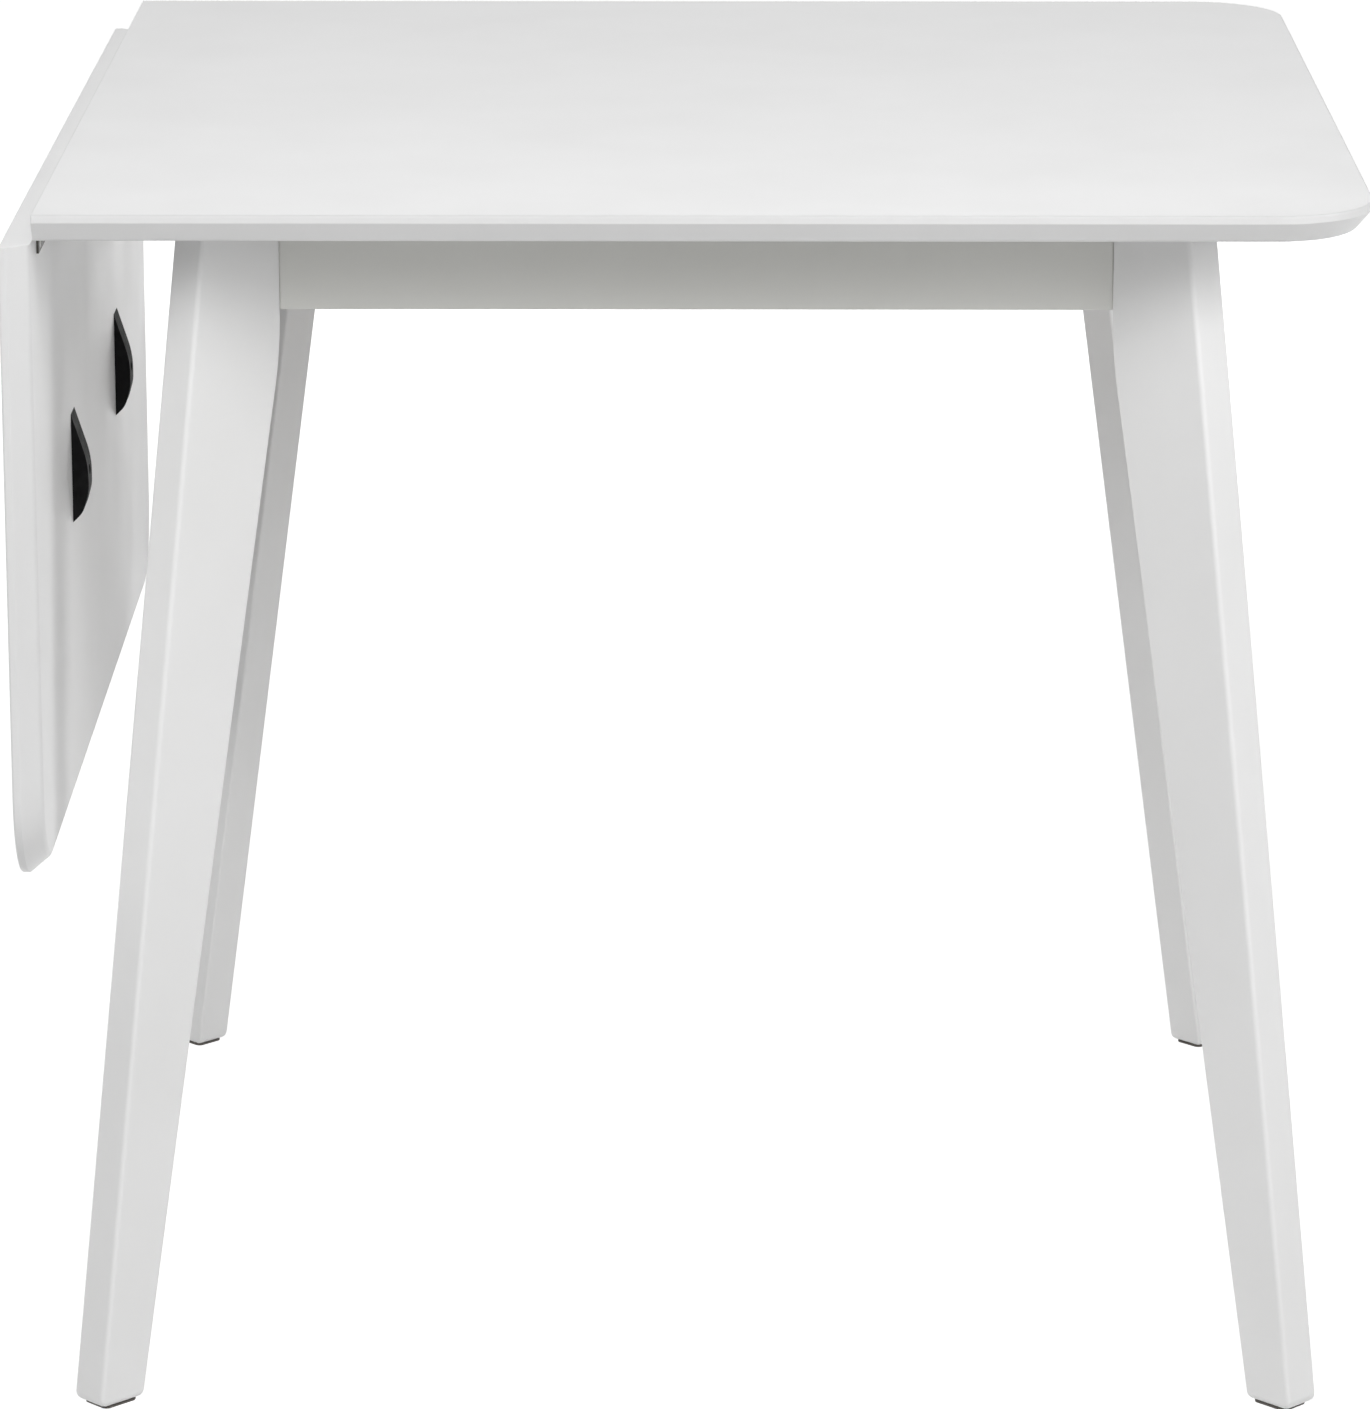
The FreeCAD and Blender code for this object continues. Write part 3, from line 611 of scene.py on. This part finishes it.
class TABLE_OT_aprons(Operator):
    """Makes the four mitred aprons, the left one notched for the supports"""

    bl_idname = "table.aprons"
    bl_label = "Aprons"

    def execute(self, context):
        for side, degrees in SIDE_TURNS.items():
            shape = apron_shape(side, context.scene.table_legs)
            turn = Matrix.Rotation(math.radians(degrees), 4, "Z")
            place = Matrix.Translation((FRAME_MIDDLE.x, FRAME_MIDDLE.y, 0)) @ turn
            bmesh.ops.transform(shape, matrix=place, verts=shape.verts[:])
            # The aprons take the darker lacquer, which is painted shade
            as_piece(shape, f"apron_board_{side}", "satin_white_apron", f"apron_{side}")
        return {"FINISHED"}


class TABLE_OT_blocks(Operator):
    """Makes the beech corner blocks and the stop batten"""

    bl_idname = "table.blocks"
    bl_label = "Corner blocks and batten"

    def execute(self, context):
        edge = context.scene.table_fittings.block_edge
        for corner in CORNERS:
            node = f"corner_block_{corner}"
            as_piece(eased_copy(node, edge), f"beech_block_{corner}", "planed_beech_across", node)
        as_piece(eased_copy("stop_batten", edge), "beech_batten", "planed_beech_across", "stop_batten")
        return {"FINISHED"}


# Screws and bolts


def solids(node):
    """The points of each separate solid in a node."""
    shape = joined_copy(node)
    left = set(shape.verts)
    found = []
    while left:
        reached = [left.pop()]
        for vert in reached:
            near = {edge.other_vert(vert) for edge in vert.link_edges} & left
            left -= near
            reached += near
        found.append(np.array([vert.co[:] for vert in reached]))
    shape.free()
    return found


def lie_of(cloud):
    """Middle and direction of a long round solid, and how far along and aside each point is."""
    middle = cloud.mean(axis=0)
    axis = np.linalg.svd(cloud - middle, full_matrices=False)[2][0]
    along = (cloud - middle) @ axis
    aside = np.linalg.norm(cloud - middle - np.outer(along, axis), axis=1)
    return middle, axis, along, aside


def end_place(middle, axis, distance):
    """A frame at one end of a long solid, its z pointing out of that end."""
    turn = Vector(axis).to_track_quat("Z", "Y").to_matrix().to_4x4()
    return Matrix.Translation(Vector(middle + axis * distance)) @ turn


def measured_screw(cloud):
    """Place of a countersunk screw's head, then its head and shank radius, head height and length."""
    middle, axis, along, aside = lie_of(cloud)
    if aside[along > along.max() - WELD].max() < aside[along < along.min() + WELD].max():
        axis, along = -axis, -along
    shank = aside[along < along.min() + WELD].max()
    head_base = along[aside < shank + WELD].max()
    sizes = (aside.max(), shank, along.max() - head_base, np.ptp(along))
    return end_place(middle, axis, along.max()), sizes


def turned(profile, steps):
    """A solid of revolution about z from pairs of radius and height."""
    shape = bmesh.new()
    points = [shape.verts.new((radius, 0, height)) for radius, height in profile]
    lines = [shape.edges.new(pair) for pair in zip(points, points[1:])]
    bmesh.ops.spin(
        shape, geom=points + lines, cent=(0, 0, 0), axis=(0, 0, 1), dvec=(0, 0, 0),
        angle=math.tau, steps=steps, use_merge=True, use_duplicate=False,
    )
    bmesh.ops.remove_doubles(shape, verts=shape.verts[:], dist=FINE_WELD)
    bmesh.ops.recalc_face_normals(shape, faces=shape.faces[:])
    return shape


def recess_bar(width, arm, depth, degrees):
    """One bar of a screw's cross, narrower at its bottom."""
    shape = bmesh.new()
    bmesh.ops.create_cube(shape, size=1)
    bmesh.ops.scale(shape, vec=(width, arm, 2 * depth), verts=shape.verts[:])
    floor = [v for v in shape.verts if v.co.z < 0]
    bmesh.ops.scale(shape, vec=CROSS_TAPER, verts=floor)
    bmesh.ops.rotate(shape, matrix=Matrix.Rotation(math.radians(degrees), 3, "Z"), verts=shape.verts[:])
    return shape


def screw_shape(head, shank, head_height, reach, sizes):
    """A countersunk screw with a cross in its head, which lies at z = 0 with the shank below."""
    rim = head_height / RIMS_PER_HEAD
    profile = [
        (0, 0), (head - rim, 0), (head, -rim), (shank, -head_height),
        (shank, shank - reach), (0, -reach),
    ]
    shape = turned(profile, sizes.turn_steps)
    width = 2 * head * sizes.recess_share
    for degrees in CROSS_TURNS:
        bar = recess_bar(width, width * sizes.recess_arm, head_height, degrees)
        shape = carved(shape, bar)
    return shape


def repeated(shape, places):
    """Copies of one shape at several places, as one shape. The first shape goes."""
    mesh = bpy.data.meshes.new("repeated")
    shape.to_mesh(mesh)
    shape.free()
    bunch = bmesh.new()
    for place in places:
        start = len(bunch.verts)
        bunch.from_mesh(mesh)
        bunch.verts.ensure_lookup_table()
        bmesh.ops.transform(bunch, matrix=place, verts=bunch.verts[start:])
    bpy.data.meshes.remove(mesh)
    return bunch


class TABLE_OT_screws(Operator):
    """Makes the countersunk screws of the hinges, pads, rails, blocks, batten and top"""

    bl_idname = "table.screws"
    bl_label = "Screws"

    def execute(self, context):
        for node in [name for name in frame["nodes"] if name.endswith("_screws")]:
            measured = [measured_screw(cloud) for cloud in solids(node)]
            shape = screw_shape(*measured[0][1], context.scene.table_fittings)
            bunch = repeated(shape, [place for place, sizes in measured])
            as_piece(bunch, f"cross_{node}", "zinc_plate", node)
        return {"FINISHED"}


def threaded_end(radius, reach, sizes):
    """A short thread that winds down from z = 0, closed at both ends."""
    steps = sizes.turn_steps
    turns = math.ceil(reach / sizes.thread_pitch) + 1
    shape = bmesh.new()
    points = []
    for turn in range(turns + 1):
        crest = -turn * sizes.thread_pitch
        points.append(shape.verts.new((radius, 0, crest)))
        points.append(shape.verts.new((radius - sizes.thread_depth, 0, crest - sizes.thread_pitch / 2)))
    lines = [shape.edges.new(pair) for pair in zip(points, points[1:])]
    bmesh.ops.spin(
        shape, geom=points + lines, cent=(0, 0, 0), axis=(0, 0, 1),
        dvec=(0, 0, sizes.thread_pitch / steps), angle=math.tau, steps=steps, use_duplicate=False,
    )
    bmesh.ops.remove_doubles(shape, verts=shape.verts[:], dist=WELD)
    saw(shape, (0, 0, 0), (0, 0, 1))
    saw(shape, (0, 0, -reach), (0, 0, -1))
    return shape


def bolt_shape(radius, reach, sizes):
    """A leg bolt with its threaded end at z = 0 and the rest below."""
    thread = threaded_end(radius, sizes.thread_length, sizes)
    root = radius - sizes.thread_depth
    start = -sizes.thread_length
    profile = [(0, start), (root, start), (radius, start - root / 2), (radius, -reach), (0, -reach)]
    shank = turned(profile, sizes.turn_steps)
    mesh = bpy.data.meshes.new("shank")
    shank.to_mesh(mesh)
    shank.free()
    thread.from_mesh(mesh)
    bpy.data.meshes.remove(mesh)
    return thread


def bolt_place(cloud):
    """Frame at the inner end of a leg bolt, which lies nearest the middle of the table."""
    middle, axis, along, aside = lie_of(cloud)
    if axis @ (middle - np.array([*FRAME_MIDDLE.xy, middle[2]])) > 0:
        axis, along = -axis, -along
    return end_place(middle, axis, along.max()), (aside.max(), np.ptp(along))


class TABLE_OT_bolts(Operator):
    """Makes the threaded bolts that pull the legs to the frame, with their washers and nuts"""

    bl_idname = "table.bolts"
    bl_label = "Leg bolts"

    def execute(self, context):
        sizes = context.scene.table_fittings
        placed = [bolt_place(cloud) for cloud in solids("hanger_bolts")]
        bunch = repeated(bolt_shape(*placed[0][1], sizes), [place for place, measure in placed])
        as_piece(bunch, "threaded_leg_bolts", "zinc_plate", "hanger_bolts")
        for node in ("leg_washers", "leg_nuts"):
            as_piece(eased_copy(node, sizes.nut_edge), f"eased_{node}", "zinc_plate", node)
        return {"FINISHED"}


# Hinges, pads and supports


class TABLE_OT_hinges(Operator):
    """Makes the hinge plates with their knuckles, and the pins"""

    bl_idname = "table.hinges"
    bl_label = "Hinges"

    def execute(self, context):
        edge = context.scene.table_fittings.plate_edge
        for where in HINGES:
            for part in ("top_plate", "leaf_plate", "pin"):
                node = f"hinge_{where}_{part}"
                as_piece(eased_copy(node, edge), f"steel_{node}", "oiled_steel", node)
        return {"FINISHED"}


class TABLE_OT_pads(Operator):
    """Makes the moulded ramp pads on the inner face of the leaf"""

    bl_idname = "table.pads"
    bl_label = "Ramp pads"

    def execute(self, context):
        for where in SUPPORTS:
            node = f"ramp_pad_{where}"
            shape = eased_copy(node, context.scene.table_fittings.pad_edge, SOFT_STEPS)
            as_piece(shape, f"moulded_{node}", "moulded_black", node)
        return {"FINISHED"}


class TABLE_OT_supports(Operator):
    """Makes the pull-out supports: a channel, a runner and a beech bar each"""

    bl_idname = "table.supports"
    bl_label = "Supports"

    def execute(self, context):
        sizes = context.scene.table_fittings
        for where in SUPPORTS:
            for part in ("slide_channel", "slide_runner"):
                node = f"{part}_{where}"
                as_piece(eased_copy(node, sizes.plate_edge), f"drawn_{node}", "drawn_aluminium", node)
            node = f"support_bar_{where}"
            bar = eased_copy(node, sizes.bar_edge, SOFT_STEPS)
            as_piece(bar, f"beech_{node}", "planed_beech", node)
        return {"FINISHED"}


# Finishes

FLOAT = "NodeSocketFloat"
VECTOR = "NodeSocketVector"
COLOUR = "NodeSocketColor"
# Sockets of a colour mix, which share their names with those of other mixes
MIX_FACTOR, MIX_FIRST, MIX_SECOND, MIX_RESULT = 0, 6, 7, 2
# How much smaller and how strong the finer bumps of a relief are
FINER = 3.3
FINE_SHARE = 0.35
# How strongly bands, streaks and flecks darken beech
BAND_SHARE, STREAK_SHARE, FLECK_SHARE = 0.35, 0.75, 0.55
# Depth in metres of the peel of lacquer and of the flecks in beech
PEEL_DEPTH, FLECK_DEPTH = 8e-6, 4e-5


def add(tree, kind, inputs=None, **settings):
    """A new node with its settings made, and its inputs set or joined to other nodes."""
    node = tree.nodes.new(kind)
    for name, setting in settings.items():
        setattr(node, name, setting)
    for name, given in (inputs or {}).items():
        if isinstance(given, bpy.types.NodeSocket):
            tree.links.new(given, node.inputs[name])
        else:
            node.inputs[name].default_value = given
    return node


def effect(name, inputs, outputs):
    """An empty effect group with named inputs and outputs."""
    group = bpy.data.node_groups.new(name, "ShaderNodeTree")
    for label, kind in inputs.items():
        group.interface.new_socket(label, in_out="INPUT", socket_type=kind)
    for label, kind in outputs.items():
        group.interface.new_socket(label, in_out="OUTPUT", socket_type=kind)
    return group, add(group, "NodeGroupInput").outputs, add(group, "NodeGroupOutput").inputs


def stretched(tree, place, scale):
    """Places stretched along the directions whose scale is small."""
    return add(tree, "ShaderNodeMapping", {"Vector": place, "Scale": scale}).outputs[0]


def mottle_effect():
    """Soft blotches between two values, for colour and sheen that are never quite even."""
    inputs = {"Place": VECTOR, "Size": FLOAT, "Low": FLOAT, "High": FLOAT}
    group, given, made = effect("mottle", inputs, {"Value": FLOAT})
    noise = add(group, "ShaderNodeTexNoise",
                {"Vector": given["Place"], "Scale": given["Size"], "Detail": 3.0, "Roughness": 0.55})
    spread = add(group, "ShaderNodeMapRange",
                 {"Value": noise.outputs[0], "From Min": 0.3, "From Max": 0.7,
                  "To Min": given["Low"], "To Max": given["High"]})
    group.links.new(spread.outputs[0], made["Value"])
    return group


def relief_effect():
    """Fine bumps of two sizes, for skins of lacquer, plastic and plating."""
    group, given, made = effect("relief", {"Place": VECTOR, "Size": FLOAT}, {"Height": FLOAT})
    coarse = add(group, "ShaderNodeTexNoise",
                 {"Vector": given["Place"], "Scale": given["Size"], "Detail": 1.0})
    finer = add(group, "ShaderNodeMath", {0: given["Size"], 1: FINER}, operation="MULTIPLY")
    fine = add(group, "ShaderNodeTexNoise",
               {"Vector": given["Place"], "Scale": finer.outputs[0], "Detail": 1.0})
    both = add(group, "ShaderNodeMath", {0: fine.outputs[0], 1: FINE_SHARE, 2: coarse.outputs[0]},
               operation="MULTIPLY_ADD")
    group.links.new(both.outputs[0], made["Height"])
    return group


def beech_effect():
    """Straight beech figure along x: broad bands, fine streaks and short dark flecks."""
    inputs = {"Place": VECTOR, "Light": COLOUR, "Dark": COLOUR}
    outputs = {"Colour": COLOUR, "Height": FLOAT, "Sheen": FLOAT}
    group, given, made = effect("beech_figure", inputs, outputs)
    streak_place = stretched(group, given["Place"], (3, 70, 70))
    streaks = add(group, "ShaderNodeTexNoise",
                  {"Vector": streak_place, "Scale": 1.0, "Detail": 4.0, "Distortion": 0.4})
    band_place = stretched(group, given["Place"], (2, 40, 25))
    bands = add(group, "ShaderNodeTexWave",
                {"Vector": band_place, "Scale": 1.2, "Distortion": 5.0, "Detail": 2.0},
                bands_direction="Y")
    fleck_place = stretched(group, given["Place"], (220, 1500, 1500))
    flecks = add(group, "ShaderNodeTexNoise", {"Vector": fleck_place, "Scale": 1.0, "Detail": 1.0})
    fleck_mask = add(group, "ShaderNodeMapRange",
                     {"Value": flecks.outputs[0], "From Min": 0.58, "From Max": 0.70})
    marks = (
        (bands.outputs["Fac"], BAND_SHARE),
        (streaks.outputs[0], STREAK_SHARE),
        (fleck_mask.outputs[0], FLECK_SHARE),
    )
    figure = 0.0
    for mark, share in marks:
        darker = add(group, "ShaderNodeMath", {0: mark, 1: share, 2: figure}, operation="MULTIPLY_ADD")
        figure = darker.outputs[0]
    toned = add(group, "ShaderNodeMapRange", {"Value": figure, "From Min": 0.25, "From Max": 1.1})
    colours = add(group, "ShaderNodeMix",
                  {MIX_FACTOR: toned.outputs[0], MIX_FIRST: given["Light"], MIX_SECOND: given["Dark"]},
                  data_type="RGBA")
    hollow = add(group, "ShaderNodeMath", {0: 1.0, 1: fleck_mask.outputs[0]}, operation="SUBTRACT")
    sheen = add(group, "ShaderNodeMapRange", {"Value": toned.outputs[0], "To Min": 0.48, "To Max": 0.62})
    group.links.new(colours.outputs[MIX_RESULT], made["Colour"])
    group.links.new(hollow.outputs[0], made["Height"])
    group.links.new(sheen.outputs[0], made["Sheen"])
    return group


EFFECTS = {"mottle": mottle_effect, "relief": relief_effect, "beech_figure": beech_effect}


def placed_effect(tree, name, inputs):
    """An effect group in a material. The group is built the first time that it is used."""
    group = bpy.data.node_groups.get(name) or EFFECTS[name]()
    return add(tree, "ShaderNodeGroup", inputs, node_tree=group).outputs


def blank(name):
    """An empty material with its tree, its shader and the place of a point on the piece."""
    material = bpy.data.materials.new(name)
    material.use_nodes = True
    tree = material.node_tree
    place = add(tree, "ShaderNodeTexCoord").outputs["Object"]
    return material, tree, tree.nodes["Principled BSDF"], place


def tint(tree, shader, place, first, second, size):
    """Colours a surface with soft blotches of two near colours."""
    share = placed_effect(tree, "mottle", {"Place": place, "Size": size, "Low": 0.0, "High": 1.0})
    mix = add(tree, "ShaderNodeMix",
              {MIX_FACTOR: share[0], MIX_FIRST: (*first, 1), MIX_SECOND: (*second, 1)}, data_type="RGBA")
    tree.links.new(mix.outputs[MIX_RESULT], shader.inputs["Base Color"])


def gloss(tree, shader, place, size, low, high):
    """Gives a surface a roughness that drifts between two values."""
    drift = placed_effect(tree, "mottle", {"Place": place, "Size": size, "Low": low, "High": high})
    tree.links.new(drift[0], shader.inputs["Roughness"])


def bump(tree, shader, height, depth):
    """Raises a surface by a height from 0 to 1, times a depth in metres."""
    raised = add(tree, "ShaderNodeBump", {"Height": height, "Strength": 1.0, "Distance": depth})
    tree.links.new(raised.outputs[0], shader.inputs["Normal"])


def satin_white(name, first, second, grain_depth):
    """White satin lacquer: a faint orange peel, and on wood the grain that shows through."""
    material, tree, shader, place = blank(name)
    tint(tree, shader, place, first, second, size=6.0)
    gloss(tree, shader, place, size=14.0, low=0.30, high=0.37)
    peel = placed_effect(tree, "relief", {"Place": place, "Size": 380.0})[0]
    along_leg = stretched(tree, place, (1.0, 1.0, 0.03))
    grain = placed_effect(tree, "relief", {"Place": along_leg, "Size": 900.0})[0]
    both = add(tree, "ShaderNodeMath", {0: grain, 1: grain_depth, 2: peel}, operation="MULTIPLY_ADD")
    bump(tree, shader, both.outputs[0], PEEL_DEPTH)
    return material


def beech(name, light, dark, turn):
    """Planed beech with its grain along x, or turned about z."""
    material, tree, shader, place = blank(name)
    lie = add(tree, "ShaderNodeMapping", {"Vector": place, "Rotation": (0, 0, turn)}).outputs[0]
    inputs = {"Place": lie, "Light": (*light, 1), "Dark": (*dark, 1)}
    figure = placed_effect(tree, "beech_figure", inputs)
    tree.links.new(figure["Colour"], shader.inputs["Base Color"])
    tree.links.new(figure["Sheen"], shader.inputs["Roughness"])
    bump(tree, shader, figure["Height"], FLECK_DEPTH)
    return material


def plastic(name, first, second, blotch, drift, low, high, pits, depth, shine):
    """A plastic with blotches of two colours and the fine pits of its mould or of wear."""
    material, tree, shader, place = blank(name)
    tint(tree, shader, place, first, second, blotch)
    gloss(tree, shader, place, drift, low, high)
    shader.inputs["Specular IOR Level"].default_value = shine
    bump(tree, shader, placed_effect(tree, "relief", {"Place": place, "Size": pits})[0], depth)
    return material


def metal(name, first, second, blotch, low, high, grain, depth):
    """A metal with blotches of two colours and lines or pits of one size along its grain."""
    material, tree, shader, place = blank(name)
    shader.inputs["Metallic"].default_value = 1.0
    tint(tree, shader, place, first, second, blotch)
    along = stretched(tree, place, grain)
    gloss(tree, shader, along, 1.0, low, high)
    bump(tree, shader, placed_effect(tree, "relief", {"Place": along, "Size": 1.0})[0], depth)
    return material


# Each finish: its slot in the record, what makes it, the setting with its colour, and its own values.
# Blotches, drifts, pits and grain are counts in a metre, and depths are in metres.
FINISHES = {
    "satin_white_board": ("white_lacquer", satin_white, "lacquer", {"grain_depth": 0.0}),
    # The legs' finish is a lighter copy of the white lacquer, as painted light
    "satin_white_wood": ("white_lacquer", satin_white, "painted_light_wood_lacquer", {"grain_depth": 0.9}),
    # The aprons' finish is a darker copy of the white lacquer, as painted shade
    "satin_white_apron": ("white_lacquer", satin_white, "painted_shade_apron_lacquer", {"grain_depth": 0.9}),
    "planed_beech": ("beech", beech, "beech", {"turn": 0.0}),
    "planed_beech_across": ("beech", beech, "beech", {"turn": math.radians(90)}),
    "moulded_black": (
        "black_plastic", plastic, "plastic",
        {"blotch": 90, "drift": 160, "low": 0.50, "high": 0.62, "pits": 1600, "depth": 4e-5, "shine": 0.08},
    ),
    "nylon_glide": (
        "dark_glide", plastic, "glide",
        {"blotch": 300, "drift": 240, "low": 0.5, "high": 0.7, "pits": 2000, "depth": 5e-5, "shine": 0.5},
    ),
    "oiled_steel": (
        "hinge_steel", metal, "hinge",
        {"blotch": 120, "low": 0.30, "high": 0.48, "grain": (900, 120, 900), "depth": 1.5e-5},
    ),
    "zinc_plate": (
        "zinc_steel", metal, "zinc",
        {"blotch": 260, "low": 0.26, "high": 0.42, "grain": (700, 700, 700), "depth": 1e-5},
    ),
    "drawn_aluminium": (
        "aluminium", metal, "aluminium",
        {"blotch": 40, "low": 0.28, "high": 0.44, "grain": (6, 1800, 1800), "depth": 1.2e-5},
    ),
}


def finish(name):
    """A finish and its slot. The material is built the first time that it is used."""
    slot, build, colour_name, values = FINISHES[name]
    material = bpy.data.materials.get(name)
    if not material:
        colours = bpy.context.scene.table_finish
        first = getattr(colours, colour_name)
        second = getattr(colours, f"{colour_name}_shade")
        material = build(name, first, second, **values)
    return material, slot


# Stage


def seen_directly(tree):
    """1 for rays from the camera, a mirror or glass, and 0 for rays of soft light."""
    ray = add(tree, "ShaderNodeLightPath").outputs
    seen = ray["Is Camera Ray"]
    for kind in ("Is Glossy Ray", "Is Transmission Ray"):
        seen = add(tree, "ShaderNodeMath", {0: seen, 1: ray[kind]}, operation="MAXIMUM").outputs[0]
    return seen


def pale_floor(stage):
    """A pale floor that looks white to the camera outside the table's shadow."""
    material = bpy.data.materials.new("pale_floor")
    material.use_nodes = True
    tree = material.node_tree
    tree.nodes.clear()
    plain = add(tree, "ShaderNodeBsdfDiffuse", {"Color": (*stage.floor, 1)})
    shaded = add(tree, "ShaderNodeBsdfDiffuse", {"Color": (*stage.floor_seen, 1)})
    place = add(tree, "ShaderNodeTexCoord").outputs["Object"]
    away = add(tree, "ShaderNodeVectorMath", {0: place}, operation="LENGTH")
    level = add(tree, "ShaderNodeMapRange",
                {"Value": away.outputs["Value"], "From Min": stage.near_reach, "From Max": stage.far_reach,
                 "To Min": stage.floor_glow, "To Max": stage.far_glow})
    glow = add(tree, "ShaderNodeEmission", {"Strength": level.outputs[0]})
    white = add(tree, "ShaderNodeAddShader", {0: shaded.outputs[0], 1: glow.outputs[0]})
    mix = add(tree, "ShaderNodeMixShader",
              {0: seen_directly(tree), 1: plain.outputs[0], 2: white.outputs[0]})
    add(tree, "ShaderNodeOutputMaterial", {"Surface": mix.outputs[0]})
    return material


def room_light(stage):
    """Even light from all round, with a white background."""
    world = bpy.data.worlds.new("white_room")
    world.use_nodes = True
    tree = world.node_tree
    tree.nodes.clear()
    soft = add(tree, "ShaderNodeBackground", {"Color": (1, 1, 1, 1), "Strength": stage.sky})
    white = add(tree, "ShaderNodeBackground", {"Color": (1, 1, 1, 1), "Strength": 1.0})
    mix = add(tree, "ShaderNodeMixShader",
              {0: seen_directly(tree), 1: soft.outputs[0], 2: white.outputs[0]})
    add(tree, "ShaderNodeOutputWorld", {"Surface": mix.outputs[0]})
    return world


# Where each square lamp hangs, how long its side is, in metres, and whether it shows in the gloss
LAMPS = {
    "front": ((0, -2.2, 2.2), 1.2, False),
    "front_left": ((-2.0, -3.3, 2.4), 1.5, False),
    "front_right": ((2.3, -1.55, 1.65), 1.4, False),
    "left": ((-2.4, -2.4, 2.9), 2.2, False),
    "side": ((-3.2, 2.6, 0.8), 1.2, False),
    "back": ((0, 3.2, 2.6), 2.0, True),
    "low_back": ((0.15, 3.6, 0.55), 0.6, False),
}


def hang_lamp(name, place, size, in_gloss, power, target):
    """A square soft lamp that points at a target."""
    light = bpy.data.lights.new(name, "AREA")
    light.shape = "SQUARE"
    light.size = size
    light.energy = power
    lamp = bpy.data.objects.new(name, light)
    lamp.location = place
    lamp.rotation_euler = (Vector(target) - Vector(place)).to_track_quat("-Z", "Y").to_euler()
    lamp.visible_camera = False
    lamp.visible_glossy = in_gloss
    bpy.context.scene.collection.objects.link(lamp)


class TABLE_OT_stage(Operator):
    """Makes the floor, the room, the lamps and the camera"""

    bl_idname = "table.stage"
    bl_label = "Stage"

    def execute(self, context):
        scene = context.scene
        stage = scene.table_stage
        shape = bmesh.new()
        bmesh.ops.create_grid(shape, x_segments=1, y_segments=1, size=stage.floor_size)
        floor = held(shape, "floor")
        floor.data.materials.append(pale_floor(stage))
        scene.world = room_light(stage)
        middle = (CAD_BOX[0] + CAD_BOX[1]) / 2
        for name, (place, size, in_gloss) in LAMPS.items():
            power = getattr(stage, f"{name}_power")
            hang_lamp(f"{name}_lamp", place, size, in_gloss, power, middle)
        lens = bpy.data.cameras.new("camera")
        lens.lens = stage.focal_length
        camera = bpy.data.objects.new("camera", lens)
        camera.location = stage.camera_place
        camera.rotation_euler = (math.pi / 2 - stage.camera_tilt, 0, stage.camera_turn)
        scene.collection.objects.link(camera)
        scene.camera = camera
        scene.view_settings.view_transform = "Standard"
        return {"FINISHED"}


# The add-on


MAKERS = (
    TABLE_OT_stage,
    TABLE_OT_boards,
    TABLE_OT_legs,
    TABLE_OT_glides,
    TABLE_OT_aprons,
    TABLE_OT_blocks,
    TABLE_OT_screws,
    TABLE_OT_bolts,
    TABLE_OT_hinges,
    TABLE_OT_pads,
    TABLE_OT_supports,
)
SETTINGS = {
    "table_boards": BoardSizes,
    "table_legs": LegSizes,
    "table_fittings": FittingSizes,
    "table_finish": FinishColours,
    "table_stage": StageSettings,
}


class TABLE_PT_pieces(Panel):
    """Buttons for the pieces, and the sizes and colours that they use"""

    bl_idname = "TABLE_PT_pieces"
    bl_label = "Drop-leaf table"
    bl_space_type = "VIEW_3D"
    bl_region_type = "UI"
    bl_category = "Table"

    def draw(self, context):
        for maker in MAKERS:
            self.layout.operator(maker.bl_idname)
        for name, group in SETTINGS.items():
            box = self.layout.box()
            box.label(text=group.__doc__)
            for prop in group.__annotations__:
                box.prop(getattr(context.scene, name), prop)


def register():
    """Makes the classes and their settings known."""
    for group in SETTINGS.values():
        bpy.utils.register_class(group)
    for name, group in SETTINGS.items():
        setattr(bpy.types.Scene, name, PointerProperty(type=group))
    for maker in (*MAKERS, TABLE_PT_pieces):
        bpy.utils.register_class(maker)


def unregister():
    """Takes the classes and their settings away."""
    for maker in (*MAKERS, TABLE_PT_pieces):
        bpy.utils.unregister_class(maker)
    for name, group in SETTINGS.items():
        delattr(bpy.types.Scene, name)
        bpy.utils.unregister_class(group)


def main():
    """Makes every piece in order."""
    register()
    for maker in MAKERS:
        group, name = maker.bl_idname.split(".")
        getattr(getattr(bpy.ops, group), name)()


if __name__ == "__main__":
    main()
